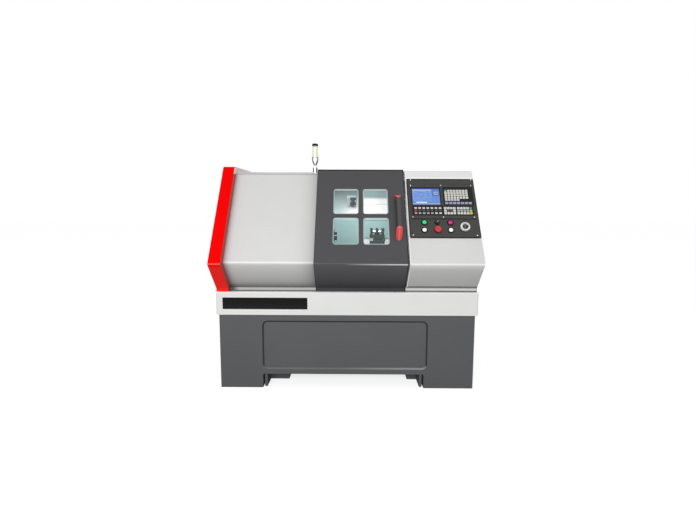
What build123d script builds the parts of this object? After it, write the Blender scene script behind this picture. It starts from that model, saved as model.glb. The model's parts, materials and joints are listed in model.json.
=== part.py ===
from build123d import *
import os
from math import hypot, sqrt

# Slide and turned-piece clearances
slide_gap = 0.3
running_gap = 0.05

# Stand and chip pan
stand_half_width = 845
stand_front_y = -398
stand_rear_y = 344
stand_height = 500
stand_sheet = 3
left_cut_x = -566
right_cut_x = 519
cut_height = 95
leg_wall_step = 30
leg_step_depth = 20
leg_groove = 9
left_foot_x = -406
right_foot_x = 422
foot_thickness = 40
foot_length = 95
foot_front_y = stand_front_y + 149
foot_rear_y = 110
rear_corner = 12
tank_rail_width = 70
tank_rail_thickness = 6
tank_seat = 18
tank_low_z = 110
tank_high_z = 330
tank_half_length = 330
anchor_x = 440
anchor_radius = 9
recess_left_x = -564
recess_right_x = 539
recess_low_z = 127
recess_high_z = 462
recess_depth = 8
recess_bevel = 10
recess_corner = 38
recess_gap = 0.5
pan_half_width = 863
pan_front_y = -404
pan_rear_y = 350
pan_top_z = 654
pan_wall = 4
pan_lip = 48
pan_corner = 10

# Sloping hood: the strip, the fold, the top front edge and the rear edge, each as (y, z)
strip_y = -367
strip_top_z = 682
fold_y = -530
fold_z = 859
top_front_y = -139
top_z = 1460
hood_rear_y = 340
hood_path = [(strip_y, strip_top_z), (fold_y, fold_z), (top_front_y, top_z), (hood_rear_y, top_z)]
hood_sheet = 2.5
rear_sheet = 3
rear_rib_low_z = 720
rear_rib_high_z = 1380
fold_bend = 14
left_inset = 24
end_cover_proud = 24
end_cover_sheet = 3
end_cover_bend = 14
end_cover_left_x = -860
end_cover_right_x = -780
hood_right_x = 860
left_hood_end_x = -208
right_hood_start_x = 394
right_hood_return = 60

# Sliding door
door_proud = 8
door_depth = 18
door_left_x = -207
door_right_x = 385
door_travel = 555
door_skirt_bend = 4
door_foot_gap = 4
door_backing = 3.5
window_width = 167
window_height = 198
window_corner = 18
window_centres_x = (-9, 187)
window_centres_s = (459, 232.5)
gasket_width = 2.5
gasket_lip = 5
pane_thickness = 5
handle_x = 330
handle_width = 36
handle_end_width = 39
handle_end_lap = 13
handle_centre_s = 337
handle_half_foot = 173
handle_half_bar = 121
handle_low = 54
handle_high = 78
door_flange = 70
rail_y = top_front_y + 36
rail_top_z = top_z - left_inset + 7

# Spindle line, bed and slides
axis_z = 992
way_top_z = 800
bed_left_x = -760
bed_right_x = 700
saddle_half_length = 121
saddle_top_z = 850
dovetail_height = 22
slide_top_z = 904
post_seat_z = 922
head_left_x = -740
head_right_x = -300
head_half_width = 165
head_shoulder_z = 1090
head_top_z = 1145
head_cap_height = 12
bearing_outer = 62
spindle_bearing_radius = 40
spindle_bore = 25
chuck_back_x = -250
chuck_face_x = -140
chuck_radius = 100
chuck_bore = 30
jaw_width = 24
jaw_slot_depth = 22
jaw_length = 61
jaw_reach = 12
jaw_gap = 0.2
jaw_angles = (0, 120, 240)
pulley_left_x = -838
pulley_width = 40
spindle_pulley_radius = 72
motor_pulley_radius = 46
motor_y = 245
motor_z = 745
screw_y = -190
screw_z = 745
screw_radius = 16
screw_journal = 12
screw_block_width = 37
screw_block_starts = (-328, bed_right_x - screw_block_width + 1)
post_x = 211
post_y = -110
post_width = 102
post_top_z = 1015
shank = 20
bolt_head_low_z = 1041
bolt_head_width = 15
bolt_head_height = 18
bolt_pitch = 40
bolt_places = [(x * bolt_pitch, y * bolt_pitch) for x in (-1, 0, 1) for y in (-1, 0, 1) if x or y]

# Control console, placed on the slope by (x, distance up the slope)
console_left_x = 402
console_right_x = 858
console_low_s = 185
console_high_s = 645
console_proud = 6
console_depth = 110
unit_low_s = 324
unit_high_s = 600
unit_thickness = 6
screen_field = (432, 620, 433, 568)
key_fields = (
    (645, 830, 432, 557),
    (433, 629, 355, 418),
    (633, 717, 355, 418),
    (719, 825, 355, 418),
)
key_height = 2.5
button_radius = 14
bezel_radius = 18
pocket_depth = 16
push_buttons = {
    "button_green": (501, 298),
    "button_magenta": (669, 296),
    "button_white_left": (498, 241),
    "button_white_right": (668, 241),
}
stop_place = (584, 242)
stop_radius = 22
selector_place = (584, 297)
wheel_place = (760, 262)
wheel_radius = 33

# Beacon on the roof, as heights above the roof
beacon_x = -249
beacon_y = 150
beacon_pole_radius = 17
beacon_pole_height = 67
beacon_fork_low = 81
beacon_tube_low = 141
beacon_tube_high = 229
beacon_tube_radius = 23
beacon_cap_height = 17

# Work lamp and splash panel on the rear wall
lamp_x = 41
lamp_low_z = 1222
lamp_high_z = 1282
lamp_half_width = 23
splash_left_x = 75
splash_right_x = 480
splash_low_z = 1099
splash_high_z = 1286
splash_groove_z = 1228

# Electrical cabinet at the rear
cabinet_left_x = -200
cabinet_right_x = 500
cabinet_low_z = 760
cabinet_high_z = 1400
cabinet_wall = 3
cabinet_drive_low_z = 1080
cabinet_drive_high_z = 1300
cabinet_door_depth = 16
switch_height = 28

slope_length = hypot(top_front_y - fold_y, top_z - fold_z)
slope_sin = (top_z - fold_z) / slope_length
slope_cos = (top_front_y - fold_y) / slope_length
slope = Plane(origin=(0, fold_y, fold_z), x_dir=(1, 0, 0), z_dir=(0, -slope_sin, slope_cos)).location


def block(x0, x1, y0, y1, z0, z1):
    """A box between two corners."""
    centre = Pos((x0 + x1) / 2, (y0 + y1) / 2, (z0 + z1) / 2)
    return centre * Box(x1 - x0, y1 - y0, z1 - z0)


def slope_block(x0, x1, s0, s1, low, high):
    """A box lying on the slope, from low to high above its face."""
    return slope * block(x0, x1, s0, s1, low, high)


def rod(axis, start, end, centre, radius):
    """A round bar along one axis, with its centre given on the other two."""
    middle = (start + end) / 2
    if axis == "x":
        place = Pos(middle, *centre) * Rot(0, 90, 0)
    elif axis == "y":
        place = Pos(centre[0], middle, centre[1]) * Rot(90, 0, 0)
    else:
        place = Pos(*centre, middle)
    return place * Cylinder(radius, end - start)


def turned(steps, bore, y=0, z=axis_z):
    """A turned piece about a line along X, from (x, radius) steps outside and one bore."""
    outline = Polyline((steps[0][0], bore), *steps, (steps[-1][0], bore), close=True)
    return Pos(0, y, z) * revolve(make_face(outline), Axis.X)


def moved_path(points, distance):
    """The corners of an open (y, z) path moved outwards, with mitred corners."""
    normals = []
    for (y0, z0), (y1, z1) in zip(points, points[1:]):
        length = hypot(y1 - y0, z1 - z0)
        normals.append(((z0 - z1) / length, (y1 - y0) / length))
    moved = []
    for index, (y, z) in enumerate(points):
        before = normals[max(index - 1, 0)]
        after = normals[min(index, len(normals) - 1)]
        share = distance / (1 + before[0] * after[0] + before[1] * after[1])
        moved.append((y + share * (before[0] + after[0]), z + share * (before[1] + after[1])))
    return moved


def rounded_line(points, bends):
    """The path's edges with a bend at each inner corner, or sharp corners where a bend has no room."""
    if min(bends) <= 0:
        return Polyline(*points)
    return FilletPolyline(*points, radius=bends)


def down_to(path, level):
    """The path with its first run lengthened or cut to end at one level."""
    (y0, z0), (y1, z1) = path[:2]
    share = (level - z1) / (z0 - z1)
    return [(y1 + share * (y0 - y1), level)] + list(path[1:])


def along_x(face, x0, x1):
    """A face drawn as (y, z) and carried along X."""
    return extrude(Plane.YZ.offset(x0) * face, amount=x1 - x0, dir=(1, 0, 0))


def folded_sheet(path, thickness, x0, x1, bends=None):
    """A folded sheet whose outer face follows the path."""
    bends = bends or [fold_bend] * (len(path) - 2)
    outside = rounded_line(path, bends)
    inside = rounded_line(moved_path(path, -thickness), [bend - thickness for bend in bends])
    ends = [Line(outside @ 0, inside @ 0), Line(outside @ 1, inside @ 1)]
    edges = outside.edges() + inside.edges() + [end.edge() for end in ends]
    return along_x(make_face(edges), x0, x1)


def end_wall(path, bends, low_z, x0, x1):
    """The closing wall of a hood: the path's outline, down to one level."""
    outside = rounded_line(path, bends)
    first, last = path[0], path[-1]
    corners = [last, (last[0], low_z), (first[0], low_z), first]
    corners = [point for index, point in enumerate(corners) if index == 0 or point != corners[index - 1]]
    return along_x(make_face(outside.edges() + Polyline(*corners).edges()), x0, x1)


def slope_point(s, off):
    """The (y, z) of a place on the slope, off above its face."""
    y = fold_y + s * slope_cos - off * slope_sin
    z = fold_z + s * slope_sin + off * slope_cos
    return y, z


def stand_leg(side):
    """One leg of the stand, with its foot plates and the rail that carries the coolant tank."""
    inner_x = left_cut_x + leg_wall_step if side < 0 else right_cut_x - leg_wall_step
    outer_x = side * stand_half_width
    x0, x1 = min(inner_x, outer_x), max(inner_x, outer_x)
    front = stand_front_y + stand_sheet
    leg = block(x0, x1, front, stand_rear_y, 0, stand_height)
    rear_edges = leg.edges().filter_by(Axis.Z).group_by(Axis.Y)[-1]
    leg = fillet(rear_edges, rear_corner)
    step_x = inner_x + side * (leg_wall_step - 4)
    step = sorted((inner_x - side, step_x))
    leg -= block(*step, front - 1, stand_front_y + leg_step_depth, -1, cut_height)
    groove = sorted((step_x, step_x - side * leg_groove))
    leg -= block(*groove, front - 1, stand_front_y + 3 * leg_step_depth, -1, cut_height)
    foot_x = sorted((inner_x, left_foot_x if side < 0 else right_foot_x))
    for foot_y in (foot_front_y, foot_rear_y):
        foot = block(*foot_x, foot_y, foot_y + foot_length, 0, foot_thickness)
        hole = rod("z", -1, foot_thickness + 1, (side * anchor_x, foot_y + foot_length / 2), anchor_radius)
        leg += foot - hole
    rail_x = sorted((inner_x, inner_x - side * tank_rail_width))
    leg += block(*rail_x, -tank_half_length, tank_half_length, tank_low_z - tank_rail_thickness, tank_low_z)
    return leg - pressed_field(stand_sheet, recess_gap)


def pressed_field(depth, margin=0):
    """The recessed field of the stand's front, a tapered block that starts at one depth behind the face."""
    face = Plane(origin=(0, stand_front_y, 0), x_dir=(1, 0, 0), z_dir=(0, -1, 0))
    width = recess_right_x - recess_left_x + 2 * margin
    height = recess_high_z - recess_low_z + 2 * margin
    place = face * Pos((recess_left_x + recess_right_x) / 2, (recess_low_z + recess_high_z) / 2, -depth)
    bevel = recess_bevel
    rim = RectangleRounded(width, height, recess_corner)
    floor = RectangleRounded(width - 2 * bevel, height - 2 * bevel, recess_corner - bevel)
    return loft([place * rim, place * Pos(0, 0, -recess_depth - margin) * floor])


def stand_front():
    """The pressed front sheet, cut out between the feet and with a recessed field."""
    face = Plane(origin=(0, stand_front_y, 0), x_dir=(1, 0, 0), z_dir=(0, -1, 0))
    outline = Pos(0, stand_height / 2) * Rectangle(2 * stand_half_width, stand_height)
    cut_centre = (left_cut_x + right_cut_x) / 2
    cut = Pos(cut_centre, 0) * RectangleRounded(right_cut_x - left_cut_x, 2 * cut_height, 15)
    panel = extrude(face * (outline - cut), amount=-stand_sheet)
    return panel + pressed_field(stand_sheet) - pressed_field(0)


def coolant_tank():
    """The closed coolant tank between the legs, with its lid, its pump and a bar handle."""
    x0 = left_cut_x + leg_wall_step + tank_rail_width - tank_seat
    x1 = right_cut_x - leg_wall_step - tank_rail_width + tank_seat
    tank = block(x0, x1, -tank_half_length, tank_half_length, tank_low_z + slide_gap, tank_high_z)
    tank = fillet(tank.edges().filter_by(Axis.Z), 15)
    tank += block(x0 - 6, x1 + 6, -tank_half_length, tank_half_length + 6, tank_high_z, tank_high_z + 6)
    pump_place = Pos(320, 235, tank_high_z + 6)
    tank += pump_place * Pos(0, 0, 5) * Cylinder(62, 10)
    tank += pump_place * Pos(0, 0, 60) * Cylinder(48, 110)
    tank += pump_place * Pos(0, 0, 119) * Cylinder(52, 14)
    grip_y = tank_half_length + 32
    for post_x_place in (-110, 70):
        tank += rod("y", tank_half_length - 5, grip_y, (post_x_place, 230), 6)
    return tank + rod("x", -122, 82, (grip_y, 230), 7)


def chip_pan():
    """The shallow pan under the bed: four walls, a floor and an inward rim."""
    outer = block(-pan_half_width, pan_half_width, pan_front_y, pan_rear_y, stand_height, pan_top_z)
    outer = fillet(outer.edges().filter_by(Axis.Z), pan_corner)
    front_edges = outer.edges().filter_by(Axis.X).group_by(Axis.Y)[0]
    outer = fillet(front_edges, 5)
    x_wall = pan_half_width - pan_wall
    near, far = pan_front_y + pan_wall, pan_rear_y - pan_wall
    cavity = block(-x_wall, x_wall, near, far, stand_height + pan_wall, pan_top_z - pan_wall)
    mouth = block(
        -pan_half_width + 30,
        pan_half_width - 30,
        pan_front_y + pan_lip,
        pan_rear_y - 30,
        pan_top_z - 2 * pan_wall,
        pan_top_z + 1,
    )
    return outer - cavity - mouth


def bed_section(gap=0):
    """The bed's end view: feet, waist, a V way in front, a flat way behind and the trough between."""
    top = way_top_z + gap
    flat = top - 12
    points = [
        (-160, stand_height + pan_wall),
        (160, stand_height + pan_wall),
        (160, 534),
        (128, 560),
        (128, 715),
        (150, 740),
        (150, top),
        (82, top),
        (82, flat),
        (60, flat),
        (60, 640),
        (-60, 640),
        (-60, flat),
        (-100, flat),
        (-116, top),
        (-132, flat),
        (-150, flat),
        (-150, 740),
        (-128, 715),
        (-128, 560),
        (-160, 534),
    ]
    return make_face(Polyline(*points, close=True))


def bed():
    """The cast bed, with cross ribs in its trough and a flat bolting pad at the right end."""
    casting = along_x(bed_section(), bed_left_x, bed_right_x)
    for rib_x in range(-640, 640, 160):
        casting += block(rib_x, rib_x + 16, -60, 60, 640, way_top_z - 40)
    for window_x in range(-560, 600, 280):
        window = Pos(window_x, 0, 600) * Rot(90, 0, 0) * SlotCenterToCenter(90, 60)
        casting -= extrude(window, amount=200, both=True)
    return casting


def headstock():
    """The headstock casting, cut to sit on the ways and bored for the two spindle bearings."""
    half, foot_z, narrow = head_half_width, way_top_z - 14, head_half_width - 55
    points = [(-half, foot_z), (half, foot_z), (half, head_shoulder_z), (narrow, head_top_z),
              (-narrow, head_top_z), (-half, head_shoulder_z)]
    casting = along_x(make_face(Polyline(*points, close=True)), head_left_x, head_right_x)
    casting = fillet(casting.edges().filter_by(Axis.X).group_by(Axis.Z)[-1], 12)
    casting -= along_x(bed_section(), bed_left_x, bed_right_x)
    casting -= block(head_left_x - 1, head_right_x + 1, -60, 60, way_top_z - 40, way_top_z - 12)
    casting += rod("x", head_right_x, head_right_x + 14, (0, axis_z), 96)
    casting += rod("x", head_left_x - 14, head_left_x, (0, axis_z), 84)
    cap = (head_top_z, head_top_z + head_cap_height)
    casting += block(head_left_x + 40, head_right_x - 40, 15 - narrow, narrow - 15, *cap)
    for number in range(1, 7):
        rib_x = head_left_x + number * 60
        casting += block(rib_x, rib_x + 10, -half - 12, -half, way_top_z + 30, head_shoulder_z - 30)
    casting -= rod("x", head_left_x - 20, head_right_x + 20, (0, axis_z), spindle_bearing_radius + 8)
    for start, end in ((head_left_x - 14, head_left_x + 36), (head_right_x - 46, head_right_x + 14)):
        casting -= rod("x", start, end, (0, axis_z), bearing_outer)
    return casting


def spindle_bearings():
    """Two bearing cartridges, one at each end of the headstock."""
    rings = []
    for start, end in ((head_left_x - 14, head_left_x + 36), (head_right_x - 46, head_right_x + 14)):
        steps = [(start, bearing_outer), (end, bearing_outer)]
        rings.append(turned(steps, spindle_bearing_radius + running_gap))
    return Compound(children=rings)


def spindle():
    """The hollow spindle: rear end for the pulley, shaft, and the nose flange for the chuck."""
    nose_x = head_right_x + 17
    steps = [
        (pulley_left_x - 6, 28),
        (pulley_left_x - 2, 32),
        (pulley_left_x + pulley_width + 4, 32),
        (pulley_left_x + pulley_width + 4, 37),
        (head_left_x - 18, 37),
        (head_left_x - 18, spindle_bearing_radius),
        (nose_x, spindle_bearing_radius),
        (nose_x, 78),
        (chuck_back_x - 3, 82),
        (chuck_back_x, 82),
    ]
    return turned(steps, spindle_bore)


def chuck_body():
    """The three-jaw chuck body, with a radial slot and a square key hole for each jaw."""
    steps = [
        (chuck_back_x, chuck_radius - 6),
        (chuck_back_x + 6, chuck_radius),
        (chuck_back_x + 40, chuck_radius),
        (chuck_back_x + 43, chuck_radius - 3),
        (chuck_back_x + 50, chuck_radius - 3),
        (chuck_back_x + 53, chuck_radius),
        (chuck_face_x - 5, chuck_radius),
        (chuck_face_x, chuck_radius - 5),
    ]
    body = turned(steps, chuck_bore)
    slot_low = chuck_face_x - jaw_slot_depth
    for angle in jaw_angles:
        half = jaw_width / 2 + jaw_gap
        slot = block(slot_low, chuck_face_x + 1, -half, half, 0, chuck_radius + 1)
        key = block(slot_low, slot_low + 9, -half - 5, half + 5, 0, chuck_radius + 1)
        body -= Pos(0, 0, axis_z) * Rot(angle, 0, 0) * (slot + key)
        socket = Pos(chuck_back_x + 30, 0, chuck_radius) * Box(11, 11, 30)
        body -= Pos(0, 0, axis_z) * Rot(angle + 60, 0, 0) * socket
    return body


def chuck_jaw(angle):
    """One stepped jaw with a keyed foot and a tip ground to 120 degrees."""
    foot = chuck_face_x - jaw_slot_depth + jaw_gap
    tip_x = chuck_face_x + jaw_length
    half = jaw_width / 2
    points = [
        (foot, jaw_reach),
        (foot, 92),
        (chuck_face_x + 3, 92),
        (chuck_face_x + 3, 74),
        (chuck_face_x + 22, 74),
        (chuck_face_x + 22, 52),
        (chuck_face_x + 42, 52),
        (chuck_face_x + 42, 32),
        (tip_x, 32),
        (tip_x, jaw_reach),
    ]
    side = make_face(Polyline(*points, close=True))
    jaw = Rot(90, 0, 0) * extrude(side, amount=half, both=True)
    jaw += block(foot, foot + 8 - jaw_gap, -half - 5 + jaw_gap, half + 5 - jaw_gap, jaw_reach + 14, 90)
    side_y, low = half + 1, jaw_reach - 6
    tip = [(0, jaw_reach - 1), (side_y, jaw_reach + side_y * 0.58), (side_y, low), (0, low)]
    for sign in (-1, 1):
        corner = make_face(Polyline(*[(sign * y, r) for y, r in tip], close=True))
        jaw -= along_x(corner, foot - 1, tip_x + 1)
    return Pos(0, 0, axis_z) * Rot(angle, 0, 0) * jaw


def grooved_pulley(radius, bore, y, z):
    """A pulley with three V grooves."""
    end = pulley_left_x + pulley_width
    steps = [(pulley_left_x, radius)]
    for groove in range(3):
        start = pulley_left_x + 3.5 + groove * 11.5
        root = radius - 8
        steps += [(start, radius), (start + 3.5, root), (start + 6.5, root), (start + 10, radius)]
    steps.append((end, radius))
    return turned(steps, bore, y, z)


def drive_belt():
    """The belt around both pulleys, a closed loop just clear of their rims."""
    dy, dz = motor_y, motor_z - axis_z
    distance = hypot(dy, dz)
    big, small = spindle_pulley_radius + slide_gap, motor_pulley_radius + slide_gap

    def loop(extra):
        swing = (big - small) / distance
        along = (dy / distance, dz / distance)
        across = (-along[1], along[0])
        run = sqrt(1 - swing * swing)
        corners = []
        for sign in (1, -1):
            for centre, radius in (((0, axis_z), big + extra), ((motor_y, motor_z), small + extra)):
                y = centre[0] + radius * (swing * along[0] + sign * run * across[0])
                z = centre[1] + radius * (swing * along[1] + sign * run * across[1])
                corners.append((y, z))
        start, end, start_low, end_low = corners
        far = (motor_y + (small + extra) * along[0], motor_z + (small + extra) * along[1])
        near = (-(big + extra) * along[0], axis_z - (big + extra) * along[1])
        edges = Line(start, end).edges() + ThreePointArc(end, far, end_low).edges()
        edges += Line(end_low, start_low).edges() + ThreePointArc(start_low, near, start).edges()
        return make_face(edges)

    return along_x(loop(7) - loop(0), pulley_left_x + 3, pulley_left_x + pulley_width - 3)


def spindle_motor():
    """The main motor on its cast foot, with cooling ribs, a fan cowl and its shaft."""
    left, right = -765, -470
    steps = [(left, 58), (left, 76), (left + 18, 76), (left + 18, 68), (right - 50, 68),
             (right - 50, 72), (right - 8, 72), (right, 60)]
    motor = turned(steps, 0, motor_y, motor_z)
    for angle in range(20, 360, 20):
        rib = block(left + 30, right - 60, -2, 2, 66, 74)
        motor += Pos(0, motor_y, motor_z) * Rot(angle, 0, 0) * rib
    foot_z = stand_height + pan_wall
    motor += block(left + 40, right - 70, motor_y - 45, motor_y + 45, foot_z + 12, motor_z - 60)
    motor += block(left + 20, right - 50, motor_y - 70, motor_y + 70, foot_z, foot_z + 14)
    motor += block(left + 90, left + 170, motor_y - 32, motor_y + 32, motor_z + 60, motor_z + 92)
    return motor


def motor_pulley():
    """The small pulley with the motor's shaft end."""
    pulley = grooved_pulley(motor_pulley_radius, 0, motor_y, motor_z)
    return pulley + rod("x", pulley_left_x + pulley_width, -765 - slide_gap, (motor_y, motor_z), 14)


def saddle():
    """The saddle on the ways, with its apron, the nut bore and the dovetail for the cross slide."""
    left, right = post_x - saddle_half_length, post_x + saddle_half_length
    body = block(left, right, -205, 195, way_top_z - 10, saddle_top_z)
    for end_x in (left - 1, right - 62):
        body -= block(end_x, end_x + 63, -100, 100, way_top_z - 20, saddle_top_z + 1)
    body += block(left + 20, right - 20, -228, -155, way_top_z - 100, saddle_top_z)
    body = body - along_x(bed_section(slide_gap), left - 1, right + 1)
    body -= block(left - 1, right + 1, -60 - slide_gap, 60 + slide_gap, 780, way_top_z - 12 + slide_gap)
    body += rod("x", left + 20, left + 60, (screw_y, screw_z), 30)
    body -= rod("x", left - 1, right + 1, (screw_y, screw_z), screw_radius + running_gap)
    body += saddle_dovetail(0, 0)
    body += block(post_x - 30, post_x + 30, 150, 196, way_top_z + 6, saddle_top_z + 30)
    return body


def saddle_dovetail(gap, rise, front_y=-195, rear_y=150):
    """The dovetail along Y between the saddle and the cross slide."""
    low, high = saddle_top_z, saddle_top_z + dovetail_height + rise
    points = [(-42 - gap, low - 1), (42 + gap, low - 1), (42 + gap, low),
              (54 + gap, high), (-54 - gap, high), (-42 - gap, low)]
    face = make_face(Polyline(*[(post_x + x, z) for x, z in points], close=True))
    return extrude(Plane.XZ.offset(-front_y) * face, amount=front_y - rear_y)


def cross_slide():
    """The cross slide over the dovetail, with the round seat of the tool post."""
    body = block(post_x - 62, post_x + 62, -200, 60, saddle_top_z + slide_gap, slide_top_z)
    body = fillet(body.edges().filter_by(Axis.Z), 6)
    body -= saddle_dovetail(slide_gap, slide_gap, -201)
    body += rod("z", slide_top_z, post_seat_z, (post_x, post_y), 49)
    body += rod("z", post_seat_z, post_seat_z + 8, (post_x, post_y), 20)
    return body


def tool_post():
    """The four-station tool head: a block with a tool slot along each side and a cap on top."""
    low = post_seat_z + slide_gap
    half = post_width / 2
    head = Pos(post_x, post_y, (low + post_top_z) / 2) * Box(post_width, post_width, post_top_z - low)
    head = chamfer(head.edges().filter_by(Axis.Z), 5)
    for quarter in range(4):
        slot = block(-half - 1, -half + shank + 2, -half - 1, half + 1, axis_z - shank, axis_z + 3)
        head -= Pos(post_x, post_y) * Rot(0, 0, 90 * quarter) * slot
    head -= rod("z", low - 1, post_seat_z + 9, (post_x, post_y), 20 + running_gap)
    for x, y in bolt_places:
        head -= rod("z", axis_z, post_top_z + 1, (post_x + x, post_y + y), 6)
    head += rod("z", post_top_z, post_top_z + 12, (post_x, post_y), 17)
    return head


def tool_bolts():
    """The square-headed clamp bolts of the tool post."""
    bolts = []
    head_z = bolt_head_low_z + bolt_head_height / 2
    for x, y in bolt_places:
        bolt = rod("z", axis_z + 0.1, bolt_head_low_z + 5, (post_x + x, post_y + y), 6)
        head = Box(bolt_head_width, bolt_head_width, bolt_head_height)
        bolts.append(bolt + Pos(post_x + x, post_y + y, head_z) * head)
    return Compound(children=bolts)


def cutting_tools():
    """Two tool holders with their carbide tips, in opposite slots of the tool post."""
    outer = -post_width / 2
    length = post_width / 2 + 34
    points = [(outer, -40), (outer + shank, -40), (outer + shank, length - 14), (outer + 6, length),
              (outer - 2, length - 4), (outer - 2, length - 14), (outer, length - 22)]
    face = Pos(0, 0, axis_z - shank) * make_face(Polyline(*points, close=True))
    holder = extrude(face, amount=shank - 0.1)
    tools = [Pos(post_x, post_y) * Rot(0, 0, turn) * holder for turn in (0, 180)]
    return Compound(children=tools)


def leadscrew():
    """The long ball screw of the saddle, with its bearing journals."""
    start, end = screw_block_starts
    steps = [
        (start + 4, screw_journal),
        (start + screw_block_width + 1, screw_journal),
        (start + screw_block_width + 1, screw_radius),
        (end - 1, screw_radius),
        (end - 1, screw_journal),
        (bed_right_x + 1 - slide_gap, screw_journal),
    ]
    return turned(steps, 0, screw_y, screw_z)


def leadscrew_blocks():
    """The two bearing blocks of the long screw, bolted to the bed's front."""
    blocks = []
    for start in screw_block_starts:
        body = block(start, start + screw_block_width, screw_y - 32, -150, screw_z - 33, screw_z + 33)
        body = chamfer(body.edges().filter_by(Axis.X).group_by(Axis.Y)[0], 10)
        end = start + screw_block_width
        body -= rod("x", start - 1, end + 1, (screw_y, screw_z), screw_journal + running_gap)
        blocks.append(body)
    return Compound(children=blocks)


def servo_motor(start, end, axis, centre, flange):
    """A square servo motor with a flange, a ribbed body and a round rear cap."""
    half = flange / 2
    forward = 1 if end > start else -1
    if axis == "x":
        place = Pos(start, *centre) * Rot(0, 90 * forward, 0)
    else:
        place = Pos(centre[0], start, centre[1]) * Rot(-90 * forward, 0, 0)
    length = abs(end - start)
    motor = Pos(0, 0, 6) * Box(flange, flange, 12)
    body = Pos(0, 0, length / 2 - 8) * Box(flange - 10, flange - 10, length - 16)
    motor += fillet(body.edges().filter_by(Axis.Z), 8)
    motor += Pos(0, 0, length - 18) * Cylinder(half - 8, 36)
    motor += Pos(0, half - 2, length - 45) * Box(26, 22, 30)
    return place * motor


def tailstock():
    """The tailstock casting on the ways, with its barrel and clamp boss."""
    left, right = 520, 650
    points = [(-110, 785), (110, 785), (110, 830), (60, 860), (48, axis_z),
              (-48, axis_z), (-60, 860), (-110, 830)]
    body = along_x(make_face(Polyline(*points, close=True)), left, right)
    body += rod("x", left - 12, right + 12, (0, axis_z), 48)
    body -= along_x(bed_section(slide_gap), left - 20, right + 20)
    body -= block(left - 1, right + 1, -60 - slide_gap, 60 + slide_gap, 780, way_top_z - 12 + slide_gap)
    body -= rod("x", left - 13, right + 13, (0, axis_z), 26 + running_gap)
    body += rod("z", axis_z + 40, axis_z + 72, (left + 40, 0), 9)
    body += rod("x", left + 40, left + 110, (0, axis_z + 72), 6)
    return body


def tailstock_quill():
    """The quill with its dead centre."""
    return turned([(430, 0.5), (458, 14), (472, 14), (472, 26), (640, 26)], 0)


def tailstock_wheel():
    """The handwheel behind the tailstock, with a dished web and a turning knob."""
    start = 662 + slide_gap
    wheel = turned([(start, 34), (start + 8, 34), (start + 24, 14), (start + 34, 14)], 0)
    rim = turned([(start + 12, 78), (start + 18, 82), (start + 26, 78)], 66)
    wheel += rim
    for spoke in range(3):
        arm = Pos(start + 17, 0, 45) * Box(10, 16, 50)
        wheel += Pos(0, 0, axis_z) * Rot(spoke * 120, 0, 0) * arm
    wheel += rod("x", start + 22, start + 70, (0, axis_z + 72), 8)
    return wheel


def left_hood():
    """The headstock hood: one folded sheet, closed at its left end by a wall with two shaft holes."""
    path = down_to(moved_path(hood_path, -left_inset), strip_top_z)
    bends = [fold_bend] * 2
    hood = folded_sheet(path, hood_sheet, end_cover_right_x, left_hood_end_x, bends)
    wall = end_wall(path, bends, pan_top_z + 2, end_cover_right_x, end_cover_right_x + hood_sheet)
    wall -= rod("x", -800, -760, (0, axis_z), 48)
    wall -= rod("x", -800, -760, (motor_y, motor_z), 26)
    return hood + wall


def centre_top():
    """The roof over the work area, folded down into a lintel above the door opening."""
    path = moved_path(hood_path, -left_inset)[1:]
    lintel = slope_point(640, -left_inset)
    path[0] = lintel
    return folded_sheet(path, hood_sheet, left_hood_end_x, right_hood_start_x)


def rear_wall():
    """The flat rear wall, flanged outwards at its foot."""
    inner = hood_rear_y - rear_sheet
    left, right = end_cover_right_x + hood_sheet, hood_right_x - hood_sheet
    wall = block(left, right, inner, hood_rear_y, pan_top_z, top_z - left_inset - hood_sheet)
    for rib_x in (-600, -330, 600):
        wall += block(rib_x, rib_x + 40, inner - 5, inner, rear_rib_low_z, rear_rib_high_z)
    splash = block(splash_left_x, splash_right_x, inner - 6, inner, splash_low_z, splash_high_z)
    splash = chamfer(splash.edges().filter_by(Axis.X).group_by(Axis.Y)[0], 3)
    groove = (splash_groove_z, splash_groove_z + 3)
    splash -= block(splash_left_x - 1, splash_right_x + 1, inner - 7, inner - 4, *groove)
    return wall + splash


def right_hood():
    """The console hood: a folded sheet with a deep left return and an end wall, cut out for the console."""
    path = list(hood_path) + [(hood_rear_y, top_z - left_inset)]
    bends = [fold_bend] * 3
    hood = folded_sheet(path, hood_sheet, right_hood_start_x, hood_right_x, bends)
    hood += end_wall(path, bends, pan_top_z, hood_right_x - hood_sheet, hood_right_x)
    margin = 14
    hood -= slope_block(console_left_x + margin, console_right_x - margin, console_low_s + margin,
                        console_high_s - margin, -30, 30)
    path[-1] = (hood_rear_y - rear_sheet, path[-1][1])
    end_x = right_hood_start_x + hood_sheet
    return hood + folded_sheet(path, right_hood_return, right_hood_start_x, end_x, bends)


def end_cover():
    """The proud cover over the belt drive: a deep tray with a rolled outline."""
    path = [(strip_y, pan_top_z)] + list(hood_path) + [(hood_rear_y - 15, pan_top_z)]
    path[-2] = (hood_rear_y - 15, top_z)
    path = moved_path(path, end_cover_proud)
    bends = [fold_bend] + [end_cover_bend] * 3
    rim = folded_sheet(path, end_cover_sheet, end_cover_left_x, end_cover_right_x, bends)
    wall = end_wall(path, bends, pan_top_z, end_cover_left_x, end_cover_left_x + end_cover_sheet)
    return rim + wall


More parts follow.
